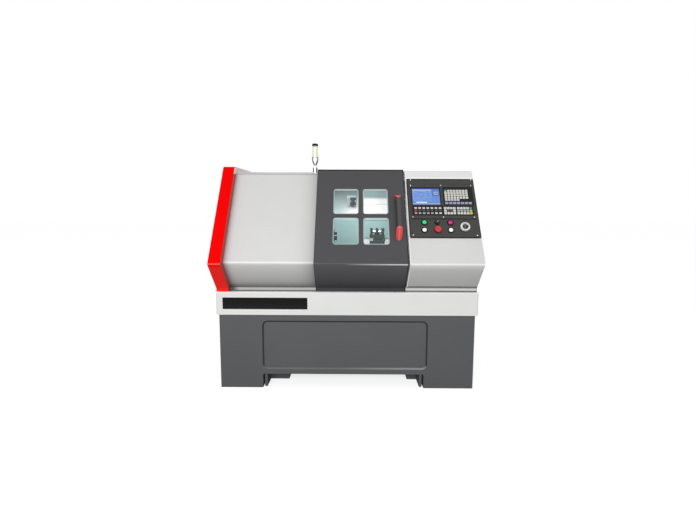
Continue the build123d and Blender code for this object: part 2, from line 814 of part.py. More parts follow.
def sill():
    """The strip under the hood's front edge, which carries the hood and guides the door's foot."""
    back = strip_y + 30
    points = [
        (strip_y, pan_top_z),
        (strip_y + 11, pan_top_z),
        (strip_y + 11, pan_top_z + 3),
        (strip_y + 3, pan_top_z + 3),
        (strip_y + 3, strip_top_z - 3),
        (back, strip_top_z - 3),
        (back, strip_top_z),
        (strip_y, strip_top_z),
    ]
    section = make_face(Polyline(*points, close=True))
    return along_x(section, end_cover_right_x + hood_sheet, hood_right_x - hood_sheet)


def door_rail():
    """The upper rail that the door hangs on, a flat foot and an upright web along the roof."""
    x0, x1 = end_cover_right_x + 4, door_right_x
    roof = top_z - left_inset
    rail = block(x0, x1, rail_y - 12, rail_y + 12, roof, roof + 3)
    return rail + block(x0, x1, rail_y - 2, rail_y + 2, roof + 3, rail_top_z)


def window_places():
    """Each window's centre on the slope."""
    return [(x, s) for s in window_centres_s for x in window_centres_x]


def window_prism(width, height, corner, low, high):
    """A rounded window shape at every window, from low to high above the slope."""
    prisms = []
    for x, s in window_places():
        face = slope * Pos(x, s, low) * RectangleRounded(width, height, corner)
        prisms.append(extrude(face, amount=high - low))
    return prisms


def door_panel():
    """The sliding door: a folded tray that follows the slope and the flare, with four windows."""
    path = down_to(moved_path(hood_path, door_proud), strip_top_z - 2)
    path[-1] = (top_front_y + door_flange, top_z + door_proud)
    skirted = [(path[0][0], pan_top_z + door_foot_gap)] + path
    bends = [door_skirt_bend, fold_bend, fold_bend]
    door = folded_sheet(skirted, hood_sheet, door_left_x, door_right_x, bends)
    cheek = folded_sheet(path, door_depth, door_left_x, door_left_x + hood_sheet)
    door += cheek
    door += Pos(door_right_x - door_left_x - hood_sheet) * cheek
    mid_x = sum(window_centres_x) / 2
    mid_s = sum(window_centres_s) / 2
    back = door_proud - hood_sheet
    door += slope_block(mid_x - 190, mid_x + 190, mid_s - 225, mid_s + 225, back - door_backing, back)
    for prism in window_prism(window_width, window_height, window_corner, -30, 30):
        door -= prism
    roof = top_z - left_inset
    door -= block(door_left_x - 1, door_right_x + 1, rail_y - 15, rail_y + 15, roof, top_z + door_proud - 4)
    shoe = (rail_top_z + slide_gap, top_z + door_proud - hood_sheet)
    for x in (door_left_x + 60, door_right_x - 60):
        door += block(x - 16, x + 16, rail_y - 8, rail_y + 8, *shoe)
    return door


def door_gaskets():
    """The rubber frames that hold the four panes."""
    back = door_proud - hood_sheet - door_backing
    wide, tall = window_width - 2 * gasket_width, window_height - 2 * gasket_width
    outer = (window_width + 2 * gasket_lip, window_height + 2 * gasket_lip, window_corner + gasket_lip)
    lips = window_prism(*outer, back - 2, back)
    throats = window_prism(window_width, window_height, window_corner, back, door_proud - 0.3)
    holes = window_prism(wide, tall, window_corner - gasket_width, back - 3, door_proud + 1)
    rings = [lip + throat - hole for lip, throat, hole in zip(lips, throats, holes)]
    return Compound(children=rings)


def door_panes():
    """The four clear panes."""
    wide = window_width - 2 * (gasket_width + running_gap)
    tall = window_height - 2 * (gasket_width + running_gap)
    high = door_proud - 1.5
    corner = window_corner - gasket_width
    return Compound(children=window_prism(wide, tall, corner, high - pane_thickness, high))


def handle_bar():
    """The grip of the door handle, a rounded bar parallel to the slope."""
    across = (handle_x - handle_width / 2, handle_x + handle_width / 2)
    along = (handle_centre_s - handle_half_bar, handle_centre_s + handle_half_bar)
    bar = slope_block(*across, *along, handle_low, handle_high)
    long_edges = bar.edges().sort_by(SortBy.LENGTH)[-4:]
    return fillet(long_edges, 9)


def handle_ends():
    """The two rounded elbows that carry the bar, oval from the front and lapped over the bar's ends."""
    ends = []
    for sign in (-1, 1):
        start = handle_half_bar - handle_end_lap
        crown = handle_high + 1
        end = handle_half_bar
        outside = [(end, crown + 1), (end + 25, handle_low - 4), (handle_half_foot, door_proud)]
        inside = [(handle_half_foot - 42, door_proud), (end + 8, handle_low - 21), (end, handle_low)]
        lap = Polyline(inside[-1], (end, handle_high), (start, handle_high), (start, crown), outside[0])
        base = Line(outside[-1], inside[0])
        arcs = ThreePointArc(*outside).edges() + ThreePointArc(*inside).edges()
        outline = make_face(lap.edges() + base.edges() + arcs)
        side = extrude(outline, amount=handle_end_width / 2, both=True)
        length = handle_half_foot - start
        mask = Pos((start + handle_half_foot) / 2, -20, 0) * Rot(-90, 0, 0)
        ends_round = RectangleRounded(length, handle_end_width, handle_end_width / 2 - 0.5)
        oval = extrude(mask * ends_round, amount=140)
        place = slope * Pos(handle_x, handle_centre_s, 0) * Rot(0, 0, 90 * sign) * Rot(90, 0, 0)
        ends.append(place * (side & oval))
    return Compound(children=ends)


def console_place(x, s, off):
    """A place on the console, off above its face."""
    return slope * Pos(x, s, console_proud + off)


def console_housing():
    """The console: a thick face plate with rounded corners and the closed box behind it."""
    width = console_right_x - console_left_x
    height = console_high_s - console_low_s
    mid_x = (console_left_x + console_right_x) / 2
    mid_s = (console_low_s + console_high_s) / 2
    outline = slope * Pos(mid_x, mid_s, 0) * RectangleRounded(width, height, 10)
    plate = extrude(outline, amount=console_proud)
    box = slope_block(console_left_x + 15, console_right_x - 15, console_low_s + 15, console_high_s - 15,
                      -console_depth, 0)
    housing = plate + box
    bay = slope_block(console_left_x + 16, console_right_x - 16, unit_low_s, unit_high_s, console_proud - 2,
                      console_proud + 1)
    housing -= bay
    for x, s in list(push_buttons.values()) + [stop_place, selector_place]:
        housing -= console_place(x, s, -pocket_depth / 2) * Cylinder(button_radius + 0.3, pocket_depth)
    housing -= console_place(*wheel_place, -6) * Cylinder(5 + running_gap, 12)
    return housing


def cnc_unit():
    """The controller's moulded front, with a sunk screen field and three key fields."""
    x0, x1 = console_left_x + 17, console_right_x - 17
    base = console_proud - 2
    top = base + unit_thickness
    unit = slope_block(x0, x1, unit_low_s + 1, unit_high_s - 1, base, top)
    unit -= slope_block(*screen_field, top - 3, top + 1)
    for x_low, x_high, s_low, s_high in key_fields:
        unit -= slope_block(x_low, x_high, s_low, s_high, top - 1, top + 1)
    return unit


def cnc_screen():
    """The display glass in the controller's front."""
    top = console_proud - 2 + unit_thickness
    x_low, x_high, s_low, s_high = screen_field
    return slope_block(x_low + 1, x_high - 1, s_low + 1, s_high - 1, top - 3, top - 1)


def key_grid(x_low, x_high, s_low, s_high, columns, rows, skip=(), share=0.4):
    """Low keys on a grid, each reaching a share of the pitch from its centre, less the places to skip."""
    base = console_proud - 2 + unit_thickness - 1
    pitch_x = (x_high - x_low) / columns
    pitch_s = (s_high - s_low) / rows
    keys = []
    for row in range(rows):
        for column in range(columns):
            if (column, row) in skip:
                continue
            x = x_low + (column + 0.5) * pitch_x
            s = s_high - (row + 0.5) * pitch_s
            half_x, half_s = pitch_x * share, pitch_s * share
            key = slope_block(x - half_x, x + half_x, s - half_s, s + half_s, base, base + key_height)
            keys.append(key)
    return keys


def cnc_keys():
    """The controller's keys: the main field, the soft keys and the three lower fields."""
    keys = key_grid(649, 808, 460, 553, 8, 5, skip={(5, 4), (6, 4), (7, 4)})
    keys += key_grid(647, 828, 435, 456, 7, 1)
    keys += key_grid(437, 625, 357, 416, 7, 3, share=0.3)
    keys += key_grid(635, 715, 357, 416, 4, 3)
    keys += key_grid(721, 823, 357, 416, 5, 3)
    return Compound(children=keys)


def button_bezels():
    """The round collars of the push buttons, the stop and the selector."""
    collars = []
    for x, s in list(push_buttons.values()) + [stop_place, selector_place]:
        collar = Cylinder(bezel_radius, 4) - Cylinder(button_radius + 0.2, 6)
        outer = collar.edges().filter_by(GeomType.CIRCLE).group_by(Axis.Z)[-1].sort_by(SortBy.RADIUS)[-1]
        collars.append(console_place(x, s, 2) * chamfer(outer, 1.2))
    return Compound(children=collars)


def push_button(x, s):
    """A flush push button with a domed edge."""
    cap = Cylinder(button_radius, 16)
    cap = fillet(cap.edges().filter_by(GeomType.CIRCLE).group_by(Axis.Z)[-1], 2)
    return console_place(x, s, -1.5) * cap


def stop_button():
    """The mushroom stop button."""
    stem = Pos(0, 0, 1) * Cylinder(button_radius, 16)
    head = Pos(0, 0, 15) * Cylinder(stop_radius, 12)
    head = fillet(head.edges().filter_by(GeomType.CIRCLE).group_by(Axis.Z)[-1], 6)
    return console_place(*stop_place, 0) * (stem + head)


def selector_knob():
    """The two-position selector: a round base with a grip bar."""
    base = Pos(0, 0, 0) * Cylinder(button_radius, 12)
    grip = Pos(0, 0, 11) * Box(8, 24, 14)
    grip = fillet(grip.edges().filter_by(Axis.Z), 3)
    return console_place(*selector_place, 0) * (base + grip)


def handwheel():
    """The jogging handwheel: a knurled ring, a dished face, a finger knob and its stub shaft."""
    low = slide_gap
    rim = wheel_radius
    points = [(0, low), (rim, low), (rim, low + 5), (rim - 2, low + 7), (rim - 2, low + 15),
              (rim - 5, low + 18), (rim - 10, low + 18), (rim - 12, low + 12), (0, low + 12)]
    wheel = revolve(Plane.XZ * make_face(Polyline(*points, close=True)), Axis.Z)
    wheel -= [Rot(0, 0, 7 + notch * 15) * Pos(rim - 1, 0, 15) * Cylinder(1.8, 20) for notch in range(24)]
    wheel += Pos(0, 0, -5) * Cylinder(5, 11)
    wheel += Pos(11, 0, low + 18) * Cylinder(5, 14)
    return console_place(*wheel_place, 0) * wheel


def beacon_stand():
    """The beacon's foot and thick pole, with a two-armed fork that holds the clear tube."""
    place = Pos(beacon_x, beacon_y, top_z - left_inset)
    pole, fork, tube = beacon_pole_height, beacon_fork_low, beacon_tube_low
    wide = beacon_tube_radius
    outer = [(0, 0), (22, 0), (22, 5), (beacon_pole_radius, 8), (beacon_pole_radius, pole), (9, pole + 4),
             (9, fork), (17, fork + 20), (wide + 1, fork + 42), (wide + 1, tube + 6), (0, tube + 6)]
    body = revolve(Plane.XZ * make_face(Polyline(*outer, close=True)), Axis.Z)
    hollow = [(0, fork + 8), (6, fork + 8), (wide - 5, fork + 40), (wide - 5, tube), (wide, tube),
              (wide, tube + 7), (0, tube + 7)]
    body -= revolve(Plane.XZ * make_face(Polyline(*hollow, close=True)), Axis.Z)
    half = wide - 6
    low, wide_z, high = fork + 12, fork + 42, tube + 8
    wedge = [(-3, low), (3, low), (half, wide_z), (half, high), (-half, high), (-half, wide_z)]
    face = Plane.XZ * make_face(Polyline(*wedge, close=True))
    return place * (body - extrude(face, amount=40, both=True))


def beacon_lens():
    """The clear tube of the beacon with the lamp inside it."""
    length = beacon_tube_high - beacon_tube_low
    place = Pos(beacon_x, beacon_y, top_z - left_inset + beacon_tube_low)
    return place * (Pos(0, 0, length / 2) * Cylinder(beacon_tube_radius - running_gap, length))


def beacon_cap():
    """The beacon's cap."""
    middle = top_z - left_inset + beacon_tube_high + beacon_cap_height / 2
    cap = Pos(beacon_x, beacon_y, middle) * Cylinder(beacon_tube_radius, beacon_cap_height)
    return chamfer(cap.edges().filter_by(GeomType.CIRCLE).group_by(Axis.Z)[-1], 6)


def work_lamp():
    """The machine lamp on the rear wall: a plate, a short arm and a waisted head."""
    wall_y = hood_rear_y - rear_sheet
    middle_z = (lamp_low_z + lamp_high_z) / 2
    half, waist = lamp_half_width, lamp_half_width - 10
    plate = block(lamp_x - half - 26, lamp_x + half, wall_y - 5, wall_y, lamp_low_z - 15, lamp_high_z + 15)
    arm = rod("y", wall_y - 24, wall_y - 5, (lamp_x, middle_z), 9)
    right = [(half, lamp_low_z), (half, lamp_low_z + 20), (waist, middle_z - 6), (waist, middle_z + 6),
             (half, lamp_high_z - 20), (half, lamp_high_z)]
    left = [(-x, z) for x, z in reversed(right)]
    face = make_face(Polyline(*[(lamp_x + x, z) for x, z in right + left], close=True))
    head = extrude(Plane.XZ.offset(24 - wall_y) * face, amount=52)
    return plate + arm + head


def cabinet_box():
    """The electrical cabinet on the rear wall, open to the rear, with its drives inside."""
    x0, x1 = cabinet_left_x, cabinet_right_x
    box = block(x0, x1, hood_rear_y, cabinet_open_y, cabinet_low_z, cabinet_high_z)
    box -= block(x0 + cabinet_wall, x1 - cabinet_wall, hood_rear_y + cabinet_wall, cabinet_open_y + 1,
                 cabinet_low_z + cabinet_wall, cabinet_high_z - cabinet_wall)
    back = hood_rear_y + cabinet_wall
    for index in range(3):
        x = x0 + 90 + index * 130
        box += block(x, x + 90, back, back + 110, cabinet_drive_low_z, cabinet_drive_high_z)
    shelf_z = cabinet_low_z + 30
    box += block(x0 + 60, x0 + 260, back, back + 90, shelf_z, shelf_z + 150)
    box += block(x0 + 320, x1 - 90, back, back + 70, shelf_z + 30, shelf_z + 100)
    box += rod("z", cabinet_low_z + 60, cabinet_high_z - 60, (hinge_x, hinge_y), 5 - running_gap)
    for z in (cabinet_low_z + 60, cabinet_high_z - 100):
        box += block(x1 - 1, hinge_x + 4, hinge_y - 14, hinge_y - 4.2, z, z + 40)
        box += block(hinge_x - 4, hinge_x + 4, hinge_y - 5, hinge_y, z, z + 40)
    return box


def cabinet_door():
    """The cabinet's folded door, with its hinge leaves and two vents."""
    x0, x1 = cabinet_left_x, cabinet_right_x
    low = cabinet_open_y + slide_gap
    high = cabinet_face_y
    door = block(x0, x1, low, high, cabinet_low_z, cabinet_high_z)
    door = fillet(door.edges().filter_by(Axis.Z).group_by(Axis.Y)[-1], 5)
    door -= block(x0 + 14, x1 - 14, low - 1, high - 2, cabinet_low_z + 14, cabinet_high_z - 14)
    for row in range(6):
        z = cabinet_low_z + 60 + row * 14
        door -= block(x0 + 90, x0 + 230, low - 1, high + 1, z, z + 5)
    for z in (cabinet_low_z + 110, cabinet_high_z - 150):
        barrel = rod("z", z, z + 40, (hinge_x, hinge_y), 9)
        leaf = block(x1 - 2, hinge_x, hinge_y - 2, hinge_y + 8, z, z + 40)
        door += barrel + leaf - rod("z", z - 1, z + 41, (hinge_x, hinge_y), 5)
    door -= rod("y", high - 6, high + 1, (switch_x, switch_z), 15 + running_gap)
    return door


def main_switch():
    """The rotary main switch on the cabinet door."""
    dial = rod("y", cabinet_face_y - 1.7, cabinet_face_y + 8, (switch_x, switch_z), 15)
    dial += rod("y", cabinet_face_y + slide_gap, cabinet_face_y + 8, (switch_x, switch_z), 26)
    near, far = cabinet_face_y + 8, cabinet_face_y + switch_height
    return dial + block(switch_x - 7, switch_x + 7, near, far, switch_z - 25, switch_z + 25)


red_cover = end_cover()
front_reach = -red_cover.bounding_box().min.Y
cabinet_face_y = front_reach - switch_height
cabinet_open_y = cabinet_face_y - cabinet_door_depth
hinge_x = cabinet_right_x + 12
hinge_y = cabinet_open_y + 4
switch_x = cabinet_left_x + 90
switch_z = 1250

pieces = {
    "stand_leg_left": stand_leg(-1),
    "stand_leg_right": stand_leg(1),
    "stand_front_panel": stand_front(),
    "coolant_tank": coolant_tank(),
    "chip_pan": chip_pan(),
    "bed": bed(),
    "headstock": headstock(),
    "spindle_bearings": spindle_bearings(),
    "spindle": spindle(),
    "chuck_body": chuck_body(),
    "spindle_pulley": grooved_pulley(spindle_pulley_radius, 32, 0, axis_z),
    "drive_belt": drive_belt(),
    "spindle_motor": spindle_motor(),
    "motor_pulley": motor_pulley(),
    "saddle": saddle(),
    "cross_slide": cross_slide(),
    "tool_post": tool_post(),
    "tool_bolts": tool_bolts(),
    "cutting_tools": cutting_tools(),
    "leadscrew": leadscrew(),
    "leadscrew_blocks": leadscrew_blocks(),
    "saddle_motor": servo_motor(bed_right_x + 1, bed_right_x + 138, "x", (screw_y, screw_z), 86),
    "cross_motor": servo_motor(196, 316, "y", (post_x, saddle_top_z - 5), 70),
    "tailstock_body": tailstock(),
    "tailstock_quill": tailstock_quill(),
    "tailstock_wheel": tailstock_wheel(),
    "hood_left": left_hood(),
    "hood_top": centre_top(),
    "hood_rear": rear_wall(),
    "hood_right": right_hood(),
    "end_cover": red_cover,
    "hood_sill": sill(),
    "door_rail": door_rail(),
    "door_panel": door_panel(),
    "door_gaskets": door_gaskets(),
    "door_panes": door_panes(),
    "door_handle_bar": handle_bar(),
    "door_handle_ends": handle_ends(),
    "console_housing": console_housing(),
    "cnc_unit": cnc_unit(),
    "cnc_screen": cnc_screen(),
    "cnc_keys": cnc_keys(),
    "button_bezels": button_bezels(),
    "button_stop": stop_button(),
    "selector_knob": selector_knob(),
    "handwheel": handwheel(),
    "beacon_stand": beacon_stand(),
    "beacon_lens": beacon_lens(),
    "beacon_cap": beacon_cap(),
    "work_lamp": work_lamp(),
    "cabinet_box": cabinet_box(),
    "cabinet_door": cabinet_door(),
    "cabinet_switch": main_switch(),
}
for number, angle in enumerate(jaw_angles, 1):
    pieces[f"chuck_jaw_{number}"] = chuck_jaw(angle)
for name, place in push_buttons.items():
    pieces[name] = push_button(*place)

os.makedirs("parts", exist_ok=True)
for name, shape in pieces.items():
    export_step(shape, f"parts/{name}.step")
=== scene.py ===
import json
from math import atan2, cos, hypot, pi, radians, sin

import bpy
from mathutils import Matrix, Vector


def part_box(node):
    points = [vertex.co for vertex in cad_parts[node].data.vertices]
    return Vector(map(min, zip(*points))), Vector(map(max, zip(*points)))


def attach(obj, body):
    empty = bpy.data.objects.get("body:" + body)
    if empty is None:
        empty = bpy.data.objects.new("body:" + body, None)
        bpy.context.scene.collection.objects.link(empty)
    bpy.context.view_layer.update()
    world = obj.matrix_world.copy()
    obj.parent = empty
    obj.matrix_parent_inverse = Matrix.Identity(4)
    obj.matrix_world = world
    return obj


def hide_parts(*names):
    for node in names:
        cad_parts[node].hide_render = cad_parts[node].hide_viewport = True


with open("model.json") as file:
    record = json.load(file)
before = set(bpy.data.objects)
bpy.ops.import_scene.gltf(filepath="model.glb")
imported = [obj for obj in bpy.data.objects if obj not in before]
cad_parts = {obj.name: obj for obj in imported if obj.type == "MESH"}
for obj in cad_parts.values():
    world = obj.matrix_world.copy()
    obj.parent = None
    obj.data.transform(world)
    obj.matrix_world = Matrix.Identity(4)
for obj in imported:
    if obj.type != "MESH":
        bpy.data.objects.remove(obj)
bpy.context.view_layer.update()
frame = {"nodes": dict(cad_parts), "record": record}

# The slope of the hood, from its fold to its top edge, in metres
fold_y, fold_z = -0.530, 0.859
top_y, top_z = -0.139, 1.460
slope_length = hypot(top_y - fold_y, top_z - fold_z)
rise = (top_z - fold_z) / slope_length
run = (top_y - fold_y) / slope_length
slope_tilt = atan2(rise, run)
# How far the console and the controller stand above the slope, and where the rear wall's inside lies
console_face = 0.006
unit_face = 0.012
rear_face = 0.337
# Behind this depth a folded sheet has no painted highlight and no painted shade of its fold
front_depth = fold_y + 0.200


def on_slope(x, s, off=0.0):
    """A place on the slope: x across, s up from the fold, off above the face."""
    return Vector((x, fold_y + s * run - off * rise, fold_z + s * rise + off * run))


def tone(red, green, blue):
    """A colour written as it shows on a screen, 0 to 255, as linear light."""
    return tuple((channel / 255) ** 2.2 for channel in (red, green, blue))


# Camera


def add_camera():
    """The camera at the photograph's place, with its slight roll."""
    place = (0.0234, -3.1805, 1.2279)
    pitch, yaw, roll = radians(6.509), radians(-0.36), radians(0.196)
    focal_pixels, picture_pixels, sensor_width = 431.1, 696, 36
    forward = Vector((sin(yaw) * cos(pitch), cos(yaw) * cos(pitch), -sin(pitch)))
    level = Vector((cos(yaw), -sin(yaw), 0))
    upright = level.cross(forward)
    right = level * cos(roll) + upright * sin(roll)
    up = upright * cos(roll) - level * sin(roll)
    bpy.ops.object.camera_add()
    camera = bpy.context.object
    camera.name = "camera"
    axes = Matrix((right, up, -forward)).transposed().to_4x4()
    camera.matrix_world = Matrix.Translation(place) @ axes
    camera.data.sensor_width = sensor_width
    camera.data.lens = focal_pixels / picture_pixels * sensor_width
    camera.data.clip_end = 100
    bpy.context.scene.camera = camera


# Shader tools


class Value:
    """An output of a node. Arithmetic on it adds maths nodes."""

    def __init__(self, tree, socket):
        self.tree = tree
        self.socket = socket

    def maths(self, operation, *others):
        inputs = dict(enumerate((self, *others)))
        return self.tree.node("ShaderNodeMath", {"operation": operation}, inputs)

    def __add__(self, other):
        return self.maths("ADD", other)

    __radd__ = __add__

    def __sub__(self, other):
        return self.maths("SUBTRACT", other)

    def __rsub__(self, other):
        return self * -1 + other

    def __mul__(self, other):
        return self.maths("MULTIPLY", other)

    __rmul__ = __mul__

    def __gt__(self, other):
        return self.maths("GREATER_THAN", other)

    def __lt__(self, other):
        return self.maths("LESS_THAN", other)

    def size(self):
        return self.maths("ABSOLUTE")

    def sine(self):
        return self.maths("SINE")

    def fraction(self):
        return self.maths("FRACT")

    def larger(self, other):
        return self.maths("MAXIMUM", other)

    def clipped(self):
        return self.maths("MINIMUM", 1.0).larger(0.0)


class Tree:
    """A node tree, emptied and then filled by one method."""

    def __init__(self, owner):
        owner.use_nodes = True
        self.tree = owner.node_tree
        self.tree.nodes.clear()

    def node(self, kind, settings=None, inputs=None, output=0):
        """Adds a node: its settings first, then the values or links of its sockets."""
        made = self.tree.nodes.new(kind)
        for key, value in (settings or {}).items():
            setattr(made, key, value)
        for key, value in (inputs or {}).items():
            if isinstance(value, Value):
                self.tree.links.new(value.socket, made.inputs[key])
            else:
                made.inputs[key].default_value = value
        return Value(self, made.outputs[output]) if made.outputs else None

    def seen(self):
        """1 for rays that come straight from the camera."""
        return self.node("ShaderNodeLightPath", output="Is Camera Ray")


class Paint(Tree):
    """One procedural material with its Principled shader."""

    def __init__(self, name, colour, roughness, metallic=0.0, **constants):
        self.material = bpy.data.materials.new(name)
        super().__init__(self.material)
        inputs = {"Base Color": (*colour, 1.0), "Roughness": roughness, "Metallic": metallic}
        inputs.update({socket.replace("_", " "): value for socket, value in constants.items()})
        self.surface = self.node("ShaderNodeBsdfPrincipled", inputs=inputs)
        self.node("ShaderNodeOutputMaterial", inputs={"Surface": self.surface})
        self.place = self.node("ShaderNodeTexCoord", output="Object")

    def feed(self, socket, value):
        """Links a varying value to one of the shader's sockets."""
        self.tree.links.new(value.socket, self.surface.socket.node.inputs[socket])

    def axes(self):
        """The three object coordinates as values."""
        split = {0: self.place}
        return [self.node("ShaderNodeSeparateXYZ", inputs=split, output=axis) for axis in "XYZ"]

    def slope_axes(self):
        """The place on the slope as values: x across, s up from the fold, off above the face."""
        x, y, z = self.axes()
        up, back = z - fold_z, y - fold_y
        return x, back * run + up * rise, up * run - back * rise

    def noise(self, scale, detail=3.0, stretch=(1, 1, 1)):
        """A soft noise in object space, with an optional stretch."""
        mapped = self.node("ShaderNodeMapping", inputs={"Vector": self.place, "Scale": stretch})
        return self.node("ShaderNodeTexNoise", inputs={"Vector": mapped, "Scale": scale, "Detail": detail})

    def blend(self, factor, first, second):
        """Mixes two colours, given as plain colours or as values."""
        one = (*first, 1.0) if isinstance(first, tuple) else first
        two = (*second, 1.0) if isinstance(second, tuple) else second
        return self.node("ShaderNodeMix", {"data_type": "RGBA"}, {"Factor": factor, 6: one, 7: two}, 2)

    def bump(self, height, strength, distance):
        """Feeds a height to the shader's normal."""
        inputs = {"Height": height, "Strength": strength, "Distance": distance}
        self.feed("Normal", self.node("ShaderNodeBump", inputs=inputs))

    def mottle(self, colour, amount, scale=6.0):
        """A slightly uneven colour, darker and lighter in soft patches."""
        dark = tuple(channel * (1 - amount) for channel in colour)
        light = tuple(min(channel * (1 + amount), 1.0) for channel in colour)
        mixed = self.blend(self.noise(scale), dark, light)
        self.feed("Base Color", mixed)
        return mixed


def field(x, s, x_low, x_high, s_low, s_high):
    """A mask that is 1 inside a rectangle between two values each way."""
    return (x > x_low) * (x < x_high) * (s > s_low) * (s < s_high)


def distance(across, along):
    """The length of a step of two values at right angles."""
    return (across * across + along * along).maths("SQRT")


# Materials


def enamel(name, colour, roughness=0.38, mottle=0.03, **constants):
    """Sprayed enamel on sheet metal: a faint orange peel and slightly uneven gloss."""
    paint = Paint(name, colour, roughness, Specular_IOR_Level=constants.pop("gloss", 0.22), **constants)
    paint.colour = paint.mottle(colour, mottle)
    paint.bump(paint.noise(420.0, 2.0), 0.12, 0.0006)
    paint.feed("Roughness", paint.noise(9.0) * 0.12 + (roughness - 0.06))
    return paint


def folded_enamel(name, colour, fold, light, below, fade=90, **constants):
    """Enamel on a folded sheet: a painted highlight line on the rounded fold, and painted shade that
    darkens the flare towards its foot below it.

    The two shares of below shade the colour under the fold and at the foot, as painted light and shade:
    a share above 1 lightens, a share below 1 darkens. light is the painted highlight's colour. A larger
    fade ends the line sooner.
    """
    paint = enamel(name, colour, **constants)
    _, y, z = paint.axes()
    front = y < front_depth
    upper, foot = (tuple(channel * share for channel in colour) for share in below)
    # Painted light and shade on the flare, from the upper share under the fold to the foot share at its foot
    shaded = paint.blend(((fold - z - 0.005) * 6.0).clipped(), upper, foot)
    paint.colour = paint.blend((z < fold) * front, paint.colour, shaded)
    # Painted highlight: a light line along the rounded fold
    away = ((z - fold) * 110).larger((fold - z) * fade)
    line = (1 - away).clipped()
    paint.colour = paint.blend(line * line * front, paint.colour, light)
    paint.feed("Base Color", paint.colour)
    return paint


def left_hood_enamel(name):
    """The left hood's enamel, with a painted highlight on its fold, painted light and shade on the flare,
    and painted shade along the door and the end cover.
    """
    paint = folded_enamel(name, sheet_grey, 0.862, fold_highlight_white, (1.10, 0.57), 30)
    x, _, z = paint.axes()
    # Painted shade: darker beside the door, more so on the flare, and darker beside the end cover
    by_door = ((x + 0.36) * 6.5).clipped()
    by_cover = ((-0.725 - x) * 20).clipped()
    shade = by_door * by_door * ((z < 0.852) * 0.17 + 0.30)
    colour = paint.blend(shade, paint.colour, (0.10, 0.10, 0.10))
    paint.feed("Base Color", paint.blend(by_cover * by_cover * 0.42, colour, (0.16, 0.10, 0.10)))
    return paint


def console_hood_enamel(name):
    """The console hood's enamel: a painted highlight on its fold and on its edge beside the door, painted
    shade on the flare, painted light on the face above the console, painted shade at the flare's foot and a
    painted shadow in the gap beside the door.
    """
    paint = folded_enamel(name, sheet_grey, 0.859, fold_highlight_white, (0.95, 0.68), 18.5)
    x, y, z = paint.axes()
    gap_x, edge_x = 0.3940, 0.3995
    # Painted light: the face above the console is lighter
    painted_light_above_console = (z > 1.404) * (y < top_y + 0.01)
    colour = paint.blend(painted_light_above_console, paint.colour, (0.84, 0.84, 0.83))
    # Painted shade: a dark band at the flare's foot
    colour = paint.blend((z < 0.6925) * (y < front_depth), colour, (0.19, 0.19, 0.185))
    # Painted highlight on the hood's edge beside the door, and painted shadow in the gap left of it
    edge = (x > gap_x) * (x < edge_x) * (y < fold_y + 0.45)
    colour = paint.blend(x < gap_x, colour, (0.02, 0.02, 0.02))
    paint.feed("Base Color", paint.blend(edge, colour, painted_highlight_white))
    return paint


def door_enamel(name):
    """The door's dark enamel: a painted highlight on its fold that grows towards the handle side, painted
    light and shade on the flare, and painted shade that makes its top edge and both side edges black.
    """
    paint = folded_enamel(name, door_grey, 0.858, door_grey, (1.55, 0.55), roughness=0.42)
    x, y, z = paint.axes()
    # Painted highlight along the fold, brighter towards the handle side
    line = (1 - (z - 0.857).size() * 190).clipped() * ((x + 0.02) * 3.2).clipped() * (y < fold_y + 0.03)
    fold_highlighted = paint.blend(line, paint.colour, (0.80, 0.80, 0.81))
    # Painted shade: black along the top edge and in the gaps at both sides
    border = (z > 1.458) * (y < top_y + 0.02) + (x < -0.2045) + (x > 0.3790)
    paint.feed("Base Color", paint.blend(border.clipped(), fold_highlighted, (0.008, 0.008, 0.009)))
    return paint


def sill_enamel(name):
    """The strip between hood and pan, painted darker as shade under the flare: a painted lit band, lighter
    at the left, between two lines of painted shade, with painted shade at its left end and a painted shadow
    at its foot.
    """
    # The hood's light grey, painted darker as shade under the flare
    paint = enamel(name, (0.42, 0.42, 0.41))
    x, _, z = paint.axes()
    band = (z > 0.662) * (z < 0.677)
    light = paint.blend(x < -0.2, (0.62, 0.62, 0.61), (0.46, 0.46, 0.45))
    colour = paint.blend(band, (0.22, 0.22, 0.215), light)
    # Painted shade at the left end, and a painted shadow in the gap at the foot
    colour = paint.blend(((-0.715 - x) * 25).clipped() * 0.9, colour, (0.05, 0.05, 0.05))
    paint.feed("Base Color", paint.blend(z < 0.659, colour, (0.07, 0.07, 0.07)))
    return paint


def pan_enamel(name):
    """The chip pan: a painted highlight line along its folded foot and one along its rim."""
    paint = enamel(name, (0.80, 0.80, 0.79))
    _, _, z = paint.axes()
    foot_z, rim_z = 0.500, 0.6505
    # Painted highlights on the rounded foot and rim
    foot = (z > foot_z) * (z < foot_z + 0.005)
    rim = z > rim_z
    paint.feed("Base Color", paint.blend(foot.larger(rim), paint.colour, painted_highlight_white))
    return paint


def pressed_enamel(name, colour):
    """The stand's front sheet: on the bevel round its field, a painted highlight below, brighter towards the
    right, and painted shade above.
    """
    paint = textured_enamel(name, colour)
    x, _, z = paint.axes()
    middle_x, middle_z, half_width, half_height = -0.0125, 0.2945, 0.5135, 0.1295
    across, up = (x - middle_x).size() - half_width, (z - middle_z).size() - half_height
    inward = across.maths("MINIMUM", 0.0).larger(up.maths("MINIMUM", 0.0))
    outward = distance(across.larger(0.0), up.larger(0.0)) + inward
    ring = (outward > 0.026) * (outward < 0.036)
    # Painted highlight and shade on the bevel ring
    below = ((0.16 - z) * 30).clipped()
    lit = ((x + 0.05) * 2.4).clipped() * 1.5 + 0.7
    bright = paint.blend(lit * 0.4, tuple(c * 0.8 for c in colour), tuple(c * 3.4 for c in colour))
    shade = paint.blend(below, tuple(c * 0.35 for c in colour), bright)
    paint.feed("Base Color", paint.blend(ring, paint.colour, shade))
    return paint


